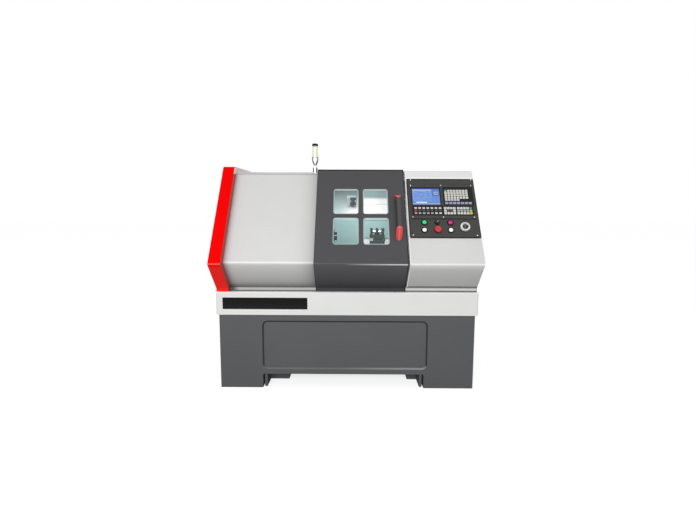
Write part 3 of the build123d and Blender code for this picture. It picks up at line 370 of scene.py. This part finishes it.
def textured_enamel(name, colour):
    """Rough hammered paint for the stand: a coarse grain and a dull gloss."""
    paint = Paint(name, colour, 0.55, Specular_IOR_Level=0.25)
    paint.colour = paint.mottle(colour, 0.07, 4.0)
    grain = paint.noise(260.0, 4.0)
    paint.bump(grain, 0.3, 0.0012)
    paint.feed("Roughness", grain * 0.2 + 0.42)
    return paint


def end_cover_enamel(name):
    """Red enamel with a pink line on its fold as a painted highlight, a lighter red on the flare as painted
    sheen, and painted shade and light on the side that faces the hood.
    """
    paint = enamel(name, (0.93, 0.001, 0.001), 0.3, gloss=0.03)
    x, y, z = paint.axes()
    inner_side = x > -0.7812
    front = y < front_depth
    # Painted sheen: a lighter red on the flare below the fold
    flare = ((fold_z - z - 0.010) * 60).clipped()
    # Painted highlight: a pink line along the fold
    line = (1 - (z - fold_z).size() * 130).clipped()
    red = paint.blend(flare * front, paint.colour, (1.0, 0.022, 0.018))
    red = paint.blend(line * front, red, (1.0, 0.11, 0.09))
    # The side that faces the hood takes painted shade and light instead of the red
    paint.feed("Base Color", paint.blend(inner_side, red, inner_shade_and_light(paint, z)))
    return paint


def inner_shade_and_light(paint, z):
    """The inner side's colour in painted shade and light: a dull red of painted shade by the hood, a pale
    pink of painted light on the strip that stands free above the roof.
    """
    roof_z = 1.434
    return paint.blend(z > roof_z, shade_red, (1.0, 0.82, 0.80))


def lip_shade_and_light(name):
    """The lip that closes the end cover's open side, in the inner side's painted shade and light."""
    paint = enamel(name, shade_red)
    _, _, z = paint.axes()
    paint.feed("Base Color", inner_shade_and_light(paint, z))
    return paint


def rear_enamel(name):
    """The rear wall: grey outside, blue-green inside, painted darker towards the top as shade, with white
    fields that are part white panel and part painted light, a grey line of painted shade in the splash
    panel's groove and a grey band along the lower field.
    """
    splash_z, trough_z, trough_x = 1.112, 0.944, 0.12
    paint = enamel(name, sheet_grey)
    x, y, z = paint.axes()
    # White fields, part white panel and part painted light; the corner field below the work lamp is painted
    # light
    splash = (z > splash_z) * (x > 0.075)
    white = (splash * ((1.286 - z) * 50).clipped()).larger((z < trough_z) * (x > trough_x))
    corner = ((x + 0.07) * 9).clipped() * ((1.245 - z) * 16).clipped() * (z > splash_z)
    white = white.larger(corner)
    # Painted shade: the blue-green darkens towards the top
    upward_shade = ((1.34 - z) * 6.0).clipped()
    upper = paint.blend(upward_shade, tone(98, 118, 121), tone(194, 214, 211))
    upper = paint.blend(x > 0.09, upper, tone(150, 178, 178))
    teal = paint.blend(z > splash_z, tone(155, 187, 187), upper)
    inner = paint.blend(white, teal, (0.95, 0.96, 0.95))
    # Painted shade: a grey line in the splash panel's groove, and a grey band along the lower field
    line = splash * (z > 1.226) * (z < 1.232) * 0.4 + (z > trough_z) * (z < 0.962) * (x > trough_x)
    inner = paint.blend(line, inner, tone(158, 162, 162))
    paint.feed("Base Color", paint.blend(y < rear_face + 0.0015, paint.colour, inner))
    return paint


def casting(name, colour):
    """A painted casting with a lightly pitted face."""
    paint = Paint(name, colour, 0.5)
    paint.mottle(colour, 0.12, 9.0)
    paint.bump(paint.noise(130.0, 5.0), 0.35, 0.002)
    return paint


def ground_steel(name, colour, roughness, stretch):
    """Machined steel with fine tool marks along one direction."""
    paint = Paint(name, colour, roughness, 1.0)
    marks = paint.noise(60.0, 3.0, stretch)
    paint.feed("Base Color", paint.blend(marks, tuple(c * 0.82 for c in colour), colour))
    paint.feed("Roughness", marks * 0.2 + (roughness - 0.08))
    paint.bump(marks, 0.15, 0.0004)
    return paint


def moulding(name, colour, roughness, grain=900.0, strength=0.1, **constants):
    """Moulded plastic with a fine spark-eroded grain."""
    paint = Paint(name, colour, roughness, **constants)
    paint.colour = paint.mottle(colour, 0.04, 14.0)
    paint.bump(paint.noise(grain, 2.0), strength, 0.0004)
    return paint


def rubber(name, dark, light):
    """Matt rubber with a dusty bloom."""
    paint = Paint(name, dark, 0.75)
    paint.feed("Base Color", paint.blend(paint.noise(40.0, 4.0), dark, light))
    paint.bump(paint.noise(700.0, 2.0), 0.2, 0.0005)
    return paint


def pane_glass(name):
    """Tinted safety glass, clear in the middle and with a pale border, whitest along the top as a painted
    highlight.
    """
    tint = (0.32, 0.42, 0.43)
    paint = Paint(name, tint, 0.06, Specular_IOR_Level=0.2)
    x, s, _ = paint.slope_axes()
    across = (((x + 0.107) * (1 / 0.196)).fraction() - 0.5) * 0.196
    along = (((s - 0.11925) * (1 / 0.2265)).fraction() - 0.5) * 0.2265
    top = along > 0.0895
    border = (across.size() > 0.0765).larger(along.size() > 0.0920).larger(top)
    # Painted highlight: the border is pale, whitest along the top edge
    rim = paint.blend(top, tone(190, 216, 214), tone(236, 246, 245))
    paint.feed("Base Color", paint.blend(border, tint, rim))
    streaks = paint.noise(5.0, 2.0, (1, 1, 4))
    paint.feed("Alpha", streaks * 0.08 + border * 0.42 + 0.04)
    return paint


def console_plate(name, colour):
    """The console's dark plate with a black edge all round as painted shade, and a black disc round each
    button, part black bezel and part painted shadow.
    """
    paint = moulding(name, colour, 0.5, 700.0, 0.16, Specular_IOR_Level=0.2)
    x, s, _ = paint.slope_axes()
    face = field(x, s, 0.4075, 0.8525, 0.1910, 0.6370)
    # Black discs round the buttons: part bezel, part painted shadow
    for column, row in ((0.501, 0.298), (0.669, 0.296), (0.498, 0.241), (0.668, 0.241), (0.584, 0.242)):
        face = face * (distance(x - column, s - row) > 0.0225)
    paint.feed("Base Color", paint.blend(face, black, paint.colour))
    return paint


def unit_plate(name, colour):
    """The controller's front: black round the display and behind the keys."""
    paint = moulding(name, colour, 0.5, 700.0, 0.16, Specular_IOR_Level=0.2)
    x, s, _ = paint.slope_axes()
    dark = field(x, s, 0.426, 0.626, 0.427, 0.574) + field(x, s, 0.639, 0.842, 0.426, 0.576)
    dark = dark + field(x, s, 0.427, 0.832, 0.349, 0.424) + (s > 0.5975) + (s < 0.3265)
    paint.feed("Base Color", paint.blend(dark.clipped(), paint.colour, (0.012, 0.012, 0.013)))
    return paint


def grip_plastic(name):
    """The handle's dark bar, with painted shade on its left side."""
    paint = moulding(name, (0.080, 0.080, 0.076), 0.42, Specular_IOR_Level=0.2)
    x, _, _ = paint.axes()
    # Painted shade: darker towards the bar's left side
    aside = ((0.324 - x) * 120).clipped()
    paint.feed("Base Color", paint.blend(aside, paint.colour, (0.022, 0.022, 0.022)))
    return paint


def grip_ends(name):
    """The handle's red ends, with a soft light streak down the middle as a painted highlight."""
    paint = moulding(name, tone(226, 74, 76), 0.28, Coat_Weight=0.3)
    x, _, _ = paint.axes()
    # Painted highlight: a light streak down the middle
    streak = (1 - (x - 0.330).size() * 140).clipped() * 0.35
    paint.feed("Base Color", paint.blend(streak, paint.colour, tone(250, 160, 158)))
    return paint


def display(name):
    """The lit display: a blue page with a header, streaked rows, a side column and light bars."""
    paint = Paint(name, (0.01, 0.015, 0.03), 0.15, Emission_Strength=0.92)
    x, s, _ = paint.slope_axes()
    u, v = (x - 0.432) * (1 / 0.188), (s - 0.433) * (1 / 0.135)
    streaks = paint.noise(70.0, 3.0, (1, 1, 1))
    rows = ((v * 11.0).fraction() > 0.45) * (streaks > 0.46)
    page, light = tone(96, 138, 214), tone(186, 206, 240)
    body = (u < 0.70) * (v > 0.20) * (v < 0.83)
    colour = paint.blend(rows * body * 0.30, page, light)
    colour = paint.blend(field(u, v, 0.73, 0.98, 0.52, 0.84), colour, tone(66, 96, 178))
    for low, high in ((0.60, 0.65), (0.72, 0.77)):
        colour = paint.blend(field(u, v, 0.77, 0.95, low, high), colour, light)
    colour = paint.blend(field(u, v, 0.02, 0.70, 0.84, 0.90), colour, light)
    colour = paint.blend(v > 0.90, colour, tone(40, 62, 140))
    colour = paint.blend(field(u, v, 0.14, 0.52, 0.11, 0.17), colour, tone(236, 240, 250))
    colour = paint.blend(v < 0.075, colour, tone(160, 186, 228))
    inside = field(u, v, 0.015, 0.985, 0.02, 0.98)
    paint.feed("Emission Color", paint.blend(inside, (0.004, 0.004, 0.006), colour))
    return paint


def key_caps(name):
    """Off-white key caps, with grey, dark and coloured keys as on the controller."""
    white, grey, dark = tone(222, 221, 214), tone(168, 170, 168), tone(84, 84, 88)
    paint = Paint(name, white, 0.45, Specular_IOR_Level=0.3)
    x, s, _ = paint.slope_axes()
    colour = paint.blend(paint.noise(30.0), tuple(0.9 * c for c in white), white)
    tinted = (
        (0.640, 0.835, 0.432, 0.466, tone(156, 160, 190)),
        (0.640, 0.672, 0.540, 0.560, tone(70, 150, 150)),
        (0.430, 0.632, 0.376, 0.397, dark),
        (0.430, 0.460, 0.376, 0.397, tone(196, 60, 56)),
        (0.430, 0.570, 0.353, 0.376, grey),
        (0.655, 0.697, 0.376, 0.397, dark),
        (0.718, 0.830, 0.376, 0.397, grey),
        (0.803, 0.830, 0.397, 0.420, tone(50, 170, 100)),
        (0.803, 0.830, 0.353, 0.385, tone(214, 204, 70)),
    )
    for x_low, x_high, s_low, s_high, tint in tinted:
        colour = paint.blend(field(x, s, x_low, x_high, s_low, s_high), colour, tint)
    paint.feed("Base Color", colour)
    paint.bump(paint.noise(900.0, 2.0), 0.1, 0.0003)
    return paint


def selector_plastic(name):
    """The selector's black knob with a white pointer line to the upper right."""
    paint = moulding(name, (0.014, 0.014, 0.015), 0.35)
    x, s, off = paint.slope_axes()
    across, along = x - 0.584, s - 0.297
    turned = radians(52)
    reach = across * cos(turned) + along * sin(turned)
    aside = along * cos(turned) - across * sin(turned)
    line = (reach > -0.002) * (reach < 0.0125) * (aside.size() < 0.0018) * (off > console_face + 0.004)
    paint.feed("Base Color", paint.blend(line, paint.colour, tone(235, 235, 235)))
    return paint


def wheel_alloy(name):
    """The handwheel: a turned silver rim round a dark centre."""
    paint = ground_steel(name, (0.80, 0.80, 0.80), 0.3, (1, 1, 1))
    x, s, _ = paint.slope_axes()
    radius = distance(x - 0.760, s - 0.262)
    dark = (radius < 0.019) * (radius > 0.011) + (radius > 0.0315)
    silver = paint.blend(radius < 0.015, (0.84, 0.84, 0.84), (0.10, 0.10, 0.105))
    paint.feed("Base Color", paint.blend(dark.clipped(), silver, (0.02, 0.02, 0.022)))
    paint.feed("Metallic", (1 - dark.clipped()) * 0.6)
    return paint


def beacon_metal(name):
    """The beacon's bright pole, its sides painted dark as a reflection, with dark fork arms above it."""
    paint = ground_steel(name, (0.72, 0.72, 0.73), 0.22, (8, 8, 1))
    x, _, z = paint.axes()
    # Painted reflection: dark sides on the pole; the fork arms are dark as well
    dark = (z > 1.541).larger((x + 0.249).size() > 0.0085)
    paint.feed("Base Color", paint.blend(dark, (0.72, 0.72, 0.73), (0.012, 0.012, 0.013)))
    paint.feed("Metallic", (1 - dark) * 0.9)
    return paint


def lamp_enamel(name):
    """The work lamp: a black head on a wall plate in the wall's colour."""
    paint = enamel(name, tone(190, 208, 208))
    _, y, _ = paint.axes()
    paint.feed("Base Color", paint.blend(y < rear_face - 0.0055, paint.colour, (0.01, 0.01, 0.011)))
    return paint


def lamp_yellow(name):
    """The beacon's yellow lamp, brighter in patches."""
    paint = Paint(name, (0.9, 0.85, 0.3), 0.4, Emission_Strength=0.5)
    glow = paint.noise(60.0)
    paint.feed("Emission Color", paint.blend(glow, (1.0, 0.95, 0.35), (1.0, 1.0, 0.6)))
    return paint


def clear_tube(name):
    """The beacon's clear tube."""
    paint = Paint(name, (0.9, 0.9, 0.88), 0.05)
    paint.feed("Alpha", paint.noise(40.0) * 0.1 + 0.2)
    return paint


def threaded_steel(name):
    """The ball screw: ground steel with a rounded helical groove as relief, painted darker in the groove and
    lighter on the crest as shade and light.
    """
    paint = Paint(name, (0.55, 0.55, 0.55), 0.25, 1.0)
    x, y, z = paint.axes()
    angle = (z - 0.745).maths("ARCTAN2", y + 0.19)
    wave = (x * (2 * pi / 0.010) + angle).sine()
    paint.bump(wave, 1.0, 0.002)
    # Painted shade and light: darker in the groove, lighter on the crest
    paint.feed("Base Color", paint.blend(wave * 0.5 + 0.5, (0.30, 0.30, 0.30), (0.62, 0.62, 0.62)))
    return paint


sheet_grey = (0.70, 0.70, 0.69)
# Colour of the painted highlight on the folds
fold_highlight_white = (0.98, 0.98, 0.97)
# Colour of the painted highlights on edges, rims and the console trim
painted_highlight_white = (0.97, 0.97, 0.96)
# A dull red that stands in for the red in shade
shade_red = (0.48, 0.07, 0.06)
stand_grey = (0.105, 0.107, 0.113)
door_grey = (0.072, 0.072, 0.078)
black = (0.010, 0.010, 0.011)

paints = {
    "grey_sheet": enamel("light_grey_enamel", sheet_grey),
    "dark_sheet": textured_enamel("stand_grey_enamel", stand_grey),
    "door_sheet": enamel("door_grey_enamel", door_grey, 0.42),
    "red_sheet": end_cover_enamel("red_enamel"),
    "casting": casting("casting_grey_green", (0.34, 0.37, 0.38)),
    "steel": ground_steel("ground_steel", (0.60, 0.60, 0.60), 0.34, (1, 8, 8)),
    "bright_steel": ground_steel("plated_steel", (0.78, 0.78, 0.78), 0.16, (1, 1, 0.2)),
    "alloy": ground_steel("turned_alloy", (0.74, 0.74, 0.75), 0.28, (1, 1, 1)),
    "motor_paint": moulding("motor_enamel", (0.02, 0.02, 0.022), 0.45, 300.0, 0.25),
    "belt_rubber": rubber("belt_rubber", (0.014, 0.014, 0.016), (0.035, 0.035, 0.038)),
    "gasket_rubber": rubber("window_rubber", tone(150, 158, 156), tone(176, 184, 182)),
    "clear_pane": pane_glass("window_glass"),
    "handle_plastic": grip_plastic("handle_grip_plastic"),
    "handle_red": grip_ends("handle_red_plastic"),
    "panel_plastic": console_plate("console_plastic", (0.058, 0.058, 0.056)),
    "screen_glass": display("display"),
    "key_plastic": key_caps("key_caps"),
    "black_plastic": moulding("black_plastic", black, 0.4, Specular_IOR_Level=0.1),
    "green_plastic": moulding("button_green_plastic", tone(34, 226, 132), 0.25),
    "magenta_plastic": moulding("button_magenta_plastic", (0.75, 0.01, 0.22), 0.25),
    "white_plastic": moulding("button_white_plastic", (0.97, 0.97, 0.97), 0.25),
    "stop_red": moulding("stop_red_plastic", tone(206, 48, 48), 0.3),
    "beacon_plastic": clear_tube("beacon_tube_plastic"),
}
black_oxide = ground_steel("black_oxide_steel", (0.05, 0.05, 0.048), 0.45, (1, 4, 4))
jaw_steel = ground_steel("jaw_steel", (0.022, 0.022, 0.022), 0.5, (1, 4, 4))
own_paints = {
    "hood_left": left_hood_enamel("left_hood_enamel"),
    "hood_right": console_hood_enamel("console_hood_enamel"),
    "hood_sill": sill_enamel("sill_enamel"),
    "chip_pan": pan_enamel("pan_enamel"),
    "stand_front_panel": pressed_enamel("pressed_stand_enamel", stand_grey),
    "door_panel": door_enamel("door_enamel"),
    "cnc_unit": unit_plate("controller_plastic", (0.058, 0.058, 0.056)),
    "hood_rear": rear_enamel("rear_wall_enamel"),
    "leadscrew": threaded_steel("ball_screw_steel"),
    "selector_knob": selector_plastic("selector_plastic"),
    "handwheel": wheel_alloy("handwheel_alloy"),
    "beacon_stand": beacon_metal("beacon_metal"),
    "door_rail": enamel("rail_enamel", (0.56, 0.56, 0.55)),
    "work_lamp": lamp_enamel("work_lamp_enamel"),
}
own_paints.update(dict.fromkeys(("tool_post", "tool_bolts", "cross_slide"), black_oxide))
own_paints.update(dict.fromkeys(("chuck_jaw_1", "chuck_jaw_2", "chuck_jaw_3"), jaw_steel))
lamp_glow = lamp_yellow("beacon_lamp")
# The console trim's near white is a painted highlight
trim_highlight_white = enamel("trim_white_enamel", painted_highlight_white)
# The end cover's lip in painted shade and light
cover_lip_shade_and_light = lip_shade_and_light("end_cover_lip_shade_and_light")


def dress_frame():
    """Gives every CAD node its procedural material."""
    slots = {part["node"]: part["material_slot"] for part in frame["record"]["subparts"]}
    for node, piece in frame["nodes"].items():
        paint = own_paints.get(node, paints[slots[node]])
        for slot in piece.material_slots:
            slot.material = paint.material


# Modelling tools


def start_clean():
    """Leaves edit mode and deselects everything."""
    if bpy.context.object and bpy.context.object.mode != "OBJECT":
        bpy.ops.object.mode_set(mode="OBJECT")
    bpy.ops.object.select_all(action="DESELECT")


def finish_piece(piece, name, paint, body, smooth=30):
    """Names a piece, applies its place to its mesh, and hands it to its body and slot."""
    start_clean()
    piece.select_set(True)
    bpy.context.view_layer.objects.active = piece
    bpy.ops.object.transform_apply(location=True, rotation=True, scale=True)
    bpy.ops.object.shade_smooth_by_angle(angle=radians(smooth))
    piece.name = name
    piece.data.name = name
    piece.data.materials.clear()
    piece.data.materials.append(paint.material)
    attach(piece, body)
    return piece


def pick_faces(piece, test):
    """In edit mode, selects the faces whose normal and centre pass the test."""
    bpy.ops.mesh.select_mode(type="FACE")
    bpy.ops.mesh.select_all(action="DESELECT")
    bpy.ops.object.mode_set(mode="OBJECT")
    for face in piece.data.polygons:
        face.select = test(face.normal, face.center)
    bpy.ops.object.mode_set(mode="EDIT")


def apply_modifier(piece, kind, **settings):
    """Adds one modifier with its settings and applies it."""
    modifier = piece.modifiers.new(kind.lower(), kind)
    for key, value in settings.items():
        setattr(modifier, key, value)
    bpy.context.view_layer.objects.active = piece
    bpy.ops.object.modifier_apply(modifier=modifier.name)


def add_plate(low, high, face, inset, depth):
    """A plate between two corners, with the face of that normal sunk inside a raised rim."""
    start_clean()
    low, high = Vector(low), Vector(high)
    bpy.ops.mesh.primitive_cube_add(size=1, location=(low + high) / 2, scale=high - low)
    plate = bpy.context.object
    bpy.ops.object.transform_apply(location=False, rotation=False, scale=True)
    bpy.ops.object.mode_set(mode="EDIT")
    normal = Vector(face)
    pick_faces(plate, lambda direction, centre: direction.dot(normal) > 0.9)
    bpy.ops.mesh.inset(thickness=inset)
    bpy.ops.mesh.inset(thickness=depth * 0.8)
    bpy.ops.transform.translate(value=normal * -depth)
    bpy.ops.object.mode_set(mode="OBJECT")
    apply_modifier(plate, "BEVEL", width=depth, segments=2)
    return plate


def add_name_plate():
    """The bare black plate on the chip pan, with a raised rim round a sunk field."""
    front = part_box("chip_pan")[0].y
    plate = add_plate((-0.818, front - 0.003, 0.540), (-0.260, front, 0.617), (0, -1, 0), 0.004, 0.0008)
    finish_piece(plate, "name_plate", paints["black_plastic"], "frame")


def add_console_trim():
    """The light strip along the top edge of the console plate, near white as a painted highlight along that
    edge.
    """
    width, depth, height = 0.452, 0.013, 0.0045
    strip = add_plate((-width / 2, -depth / 2, 0), (width / 2, depth / 2, height), (0, 0, 1), 0.0012, 0.0004)
    strip.rotation_euler = (slope_tilt, 0, 0)
    strip.location = on_slope(0.630, 0.6525)
    finish_piece(strip, "console_trim", trim_highlight_white, "frame")


def add_hood_trim():
    """The grey strip that faces the door's upper rail, along the left hood's top edge."""
    strip = add_plate((-0.777, -0.127, 1.436), (-0.2095, -0.117, 1.449), (0, 0, 1), 0.002, 0.0006)
    finish_piece(strip, "hood_trim", own_paints["door_rail"], "frame")


def add_end_cover_lip():
    """The end cover's lip, turned in towards the hood all round its open side."""
    skin, lip_width = 0.020, 0.056
    start_clean()
    low, high = Vector((-0.783, -0.600, 0.657)), Vector((-0.780, 0.346, 1.481))
    bpy.ops.mesh.primitive_cube_add(size=1, location=(low + high) / 2, scale=high - low)
    lip = bpy.context.object
    bpy.ops.object.transform_apply(location=True, rotation=False, scale=True)
    bpy.ops.object.mode_set(mode="EDIT")
    slope_normal, flare_normal = Vector((0, -rise, run)), Vector((0, -0.7356, -0.6774))
    for normal in (slope_normal, flare_normal):
        bpy.ops.mesh.select_all(action="SELECT")
        inside_skin = on_slope(0, 0) + normal * skin
        bpy.ops.mesh.bisect(plane_co=inside_skin, plane_no=normal, use_fill=True, clear_outer=True)
    pick_faces(lip, lambda normal, centre: abs(normal.x) > 0.9)
    bpy.ops.mesh.inset(thickness=lip_width, use_even_offset=True)
    bpy.ops.mesh.bridge_edge_loops()
    bpy.ops.object.mode_set(mode="OBJECT")
    apply_modifier(lip, "BEVEL", width=0.0006, segments=2)
    finish_piece(lip, "end_cover_lip", cover_lip_shade_and_light, "frame")


def add_clamp_strips():
    """The bright strips held under the tool post's front bolts."""
    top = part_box("tool_post")[1].z
    for number, x in enumerate((0.191, 0.231), 1):
        low, high = (x - 0.013, -0.158, top), (x + 0.013, -0.142, top + 0.016)
        strip = add_plate(low, high, (0, 0, 1), 0.002, 0.0008)
        finish_piece(strip, f"clamp_strip_{number}", paints["bright_steel"], "tool_post")


def add_panel_screws():
    """The pan-head screws of the console, modelled once and copied to every place."""
    start_clean()
    height = 0.0022
    bpy.ops.mesh.primitive_cylinder_add(vertices=20, radius=0.0042, depth=height)
    pattern = bpy.context.object
    bpy.ops.object.mode_set(mode="EDIT")
    pick_faces(pattern, lambda normal, centre: normal.z > 0.9)
    bpy.ops.mesh.inset(thickness=0.0012)
    bpy.ops.transform.translate(value=(0, 0, 0.0005))
    bpy.ops.mesh.inset(thickness=0.0014)
    bpy.ops.mesh.inset(thickness=0.0002)
    bpy.ops.transform.translate(value=(0, 0, -0.0010))
    bpy.ops.object.mode_set(mode="OBJECT")
    apply_modifier(pattern, "BEVEL", width=0.0003, segments=2)
    pattern.rotation_euler = (slope_tilt, 0, 0)
    places = (
        (0.427, 0.586, unit_face),
        (0.630, 0.586, unit_face),
        (0.834, 0.586, unit_face),
        (0.428, 0.336, unit_face),
        (0.628, 0.336, unit_face),
        (0.829, 0.336, unit_face),
        (0.424, 0.204, console_face),
        (0.834, 0.204, console_face),
        (0.431, 0.636, console_face),
        (0.841, 0.636, console_face),
    )
    screws = [pattern]
    for _ in places[1:]:
        start_clean()
        pattern.select_set(True)
        bpy.ops.object.duplicate()
        screws.append(bpy.context.selected_objects[0])
    for number, (screw, (x, s, face)) in enumerate(zip(screws, places), 1):
        screw.location = on_slope(x, s, face + height / 2)
        finish_piece(screw, f"console_screw_{number}", paints["bright_steel"], "frame")


def add_beacon_lamp():
    """The beacon's clear tube with the yellow lamp inside it."""
    low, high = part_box("beacon_lens")
    centre = (low + high) / 2
    radius, height = (high.x - low.x) / 2, high.z - low.z
    start_clean()
    bpy.ops.mesh.primitive_cylinder_add(
        vertices=48, radius=radius, depth=height, end_fill_type="NOTHING", location=centre
    )
    tube = bpy.context.object
    apply_modifier(tube, "SOLIDIFY", thickness=0.0025, offset=-1)
    finish_piece(tube, "beacon_tube", paints["beacon_plastic"], "frame")
    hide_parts("beacon_lens")
    start_clean()
    bpy.ops.mesh.primitive_cylinder_add(
        vertices=32, radius=radius * 0.36, depth=height * 0.94, location=centre
    )
    lamp = bpy.context.object
    bpy.ops.object.mode_set(mode="EDIT")
    pick_faces(lamp, lambda normal, centre: abs(normal.z) > 0.9)
    bpy.ops.mesh.inset(thickness=0.003)
    bpy.ops.object.mode_set(mode="OBJECT")
    apply_modifier(lamp, "BEVEL", width=0.003, segments=3)
    finish_piece(lamp, "beacon_bulb", lamp_glow, "frame")


# Light and floor


def add_light(name, place, target, energy, size):
    """One soft rectangular lamp aimed at a point."""
    bpy.ops.object.light_add(type="AREA", location=place)
    lamp = bpy.context.object
    lamp.name = name
    lamp.data.energy = energy
    lamp.data.shape = "RECTANGLE"
    lamp.data.size, lamp.data.size_y = size
    lamp.rotation_euler = (Vector(target) - Vector(place)).to_track_quat("-Z", "Y").to_euler()


def add_world():
    """The studio's even light: plain white to the camera and in reflections."""
    world = bpy.data.worlds.new("studio")
    bpy.context.scene.world = world
    tree = Tree(world)
    glossy = tree.node("ShaderNodeLightPath", output="Is Glossy Ray")
    through = tree.node("ShaderNodeLightPath", output="Is Transmission Ray")
    white = tree.seen().larger(glossy).larger(through)
    level = white * (1 - studio_level) + studio_level
    lit = tree.node("ShaderNodeBackground", inputs={"Color": (1, 1, 1, 1), "Strength": level})
    tree.node("ShaderNodeOutputWorld", inputs={"Surface": lit})


def add_floor():
    """A plain pale floor, white to the camera but for the object's faint shadow."""
    start_clean()
    bpy.ops.mesh.primitive_plane_add(size=60, location=(0, 0, 0))
    floor = bpy.context.object
    floor.name = "floor"
    material = bpy.data.materials.new("pale_floor")
    tree = Tree(material)
    matt = tree.node("ShaderNodeBsdfDiffuse", inputs={"Color": (0.52, 0.52, 0.52, 1)})
    glow = tree.node("ShaderNodeEmission", inputs={"Strength": tree.seen() * floor_glow})
    both = tree.node("ShaderNodeAddShader", inputs={0: matt, 1: glow})
    tree.node("ShaderNodeOutputMaterial", inputs={"Surface": both})
    floor.data.materials.append(material)


# How strongly the studio lights matt surfaces, and how brightly the camera sees the floor
studio_level = 0.45
floor_glow = 0.76

bpy.context.scene.view_settings.view_transform = "Standard"
add_camera()
add_world()
add_light("key", (-0.6, -5.2, 2.3), (0, -0.3, 0.9), 162, (3.6, 1.4))
add_light("inside", (0.1, -0.03, 1.34), (0.1, 0.12, 0.85), 3.4, (0.5, 0.16))
add_floor()
dress_frame()
add_name_plate()
add_console_trim()
add_hood_trim()
add_end_cover_lip()
add_clamp_strips()
add_panel_screws()
add_beacon_lamp()
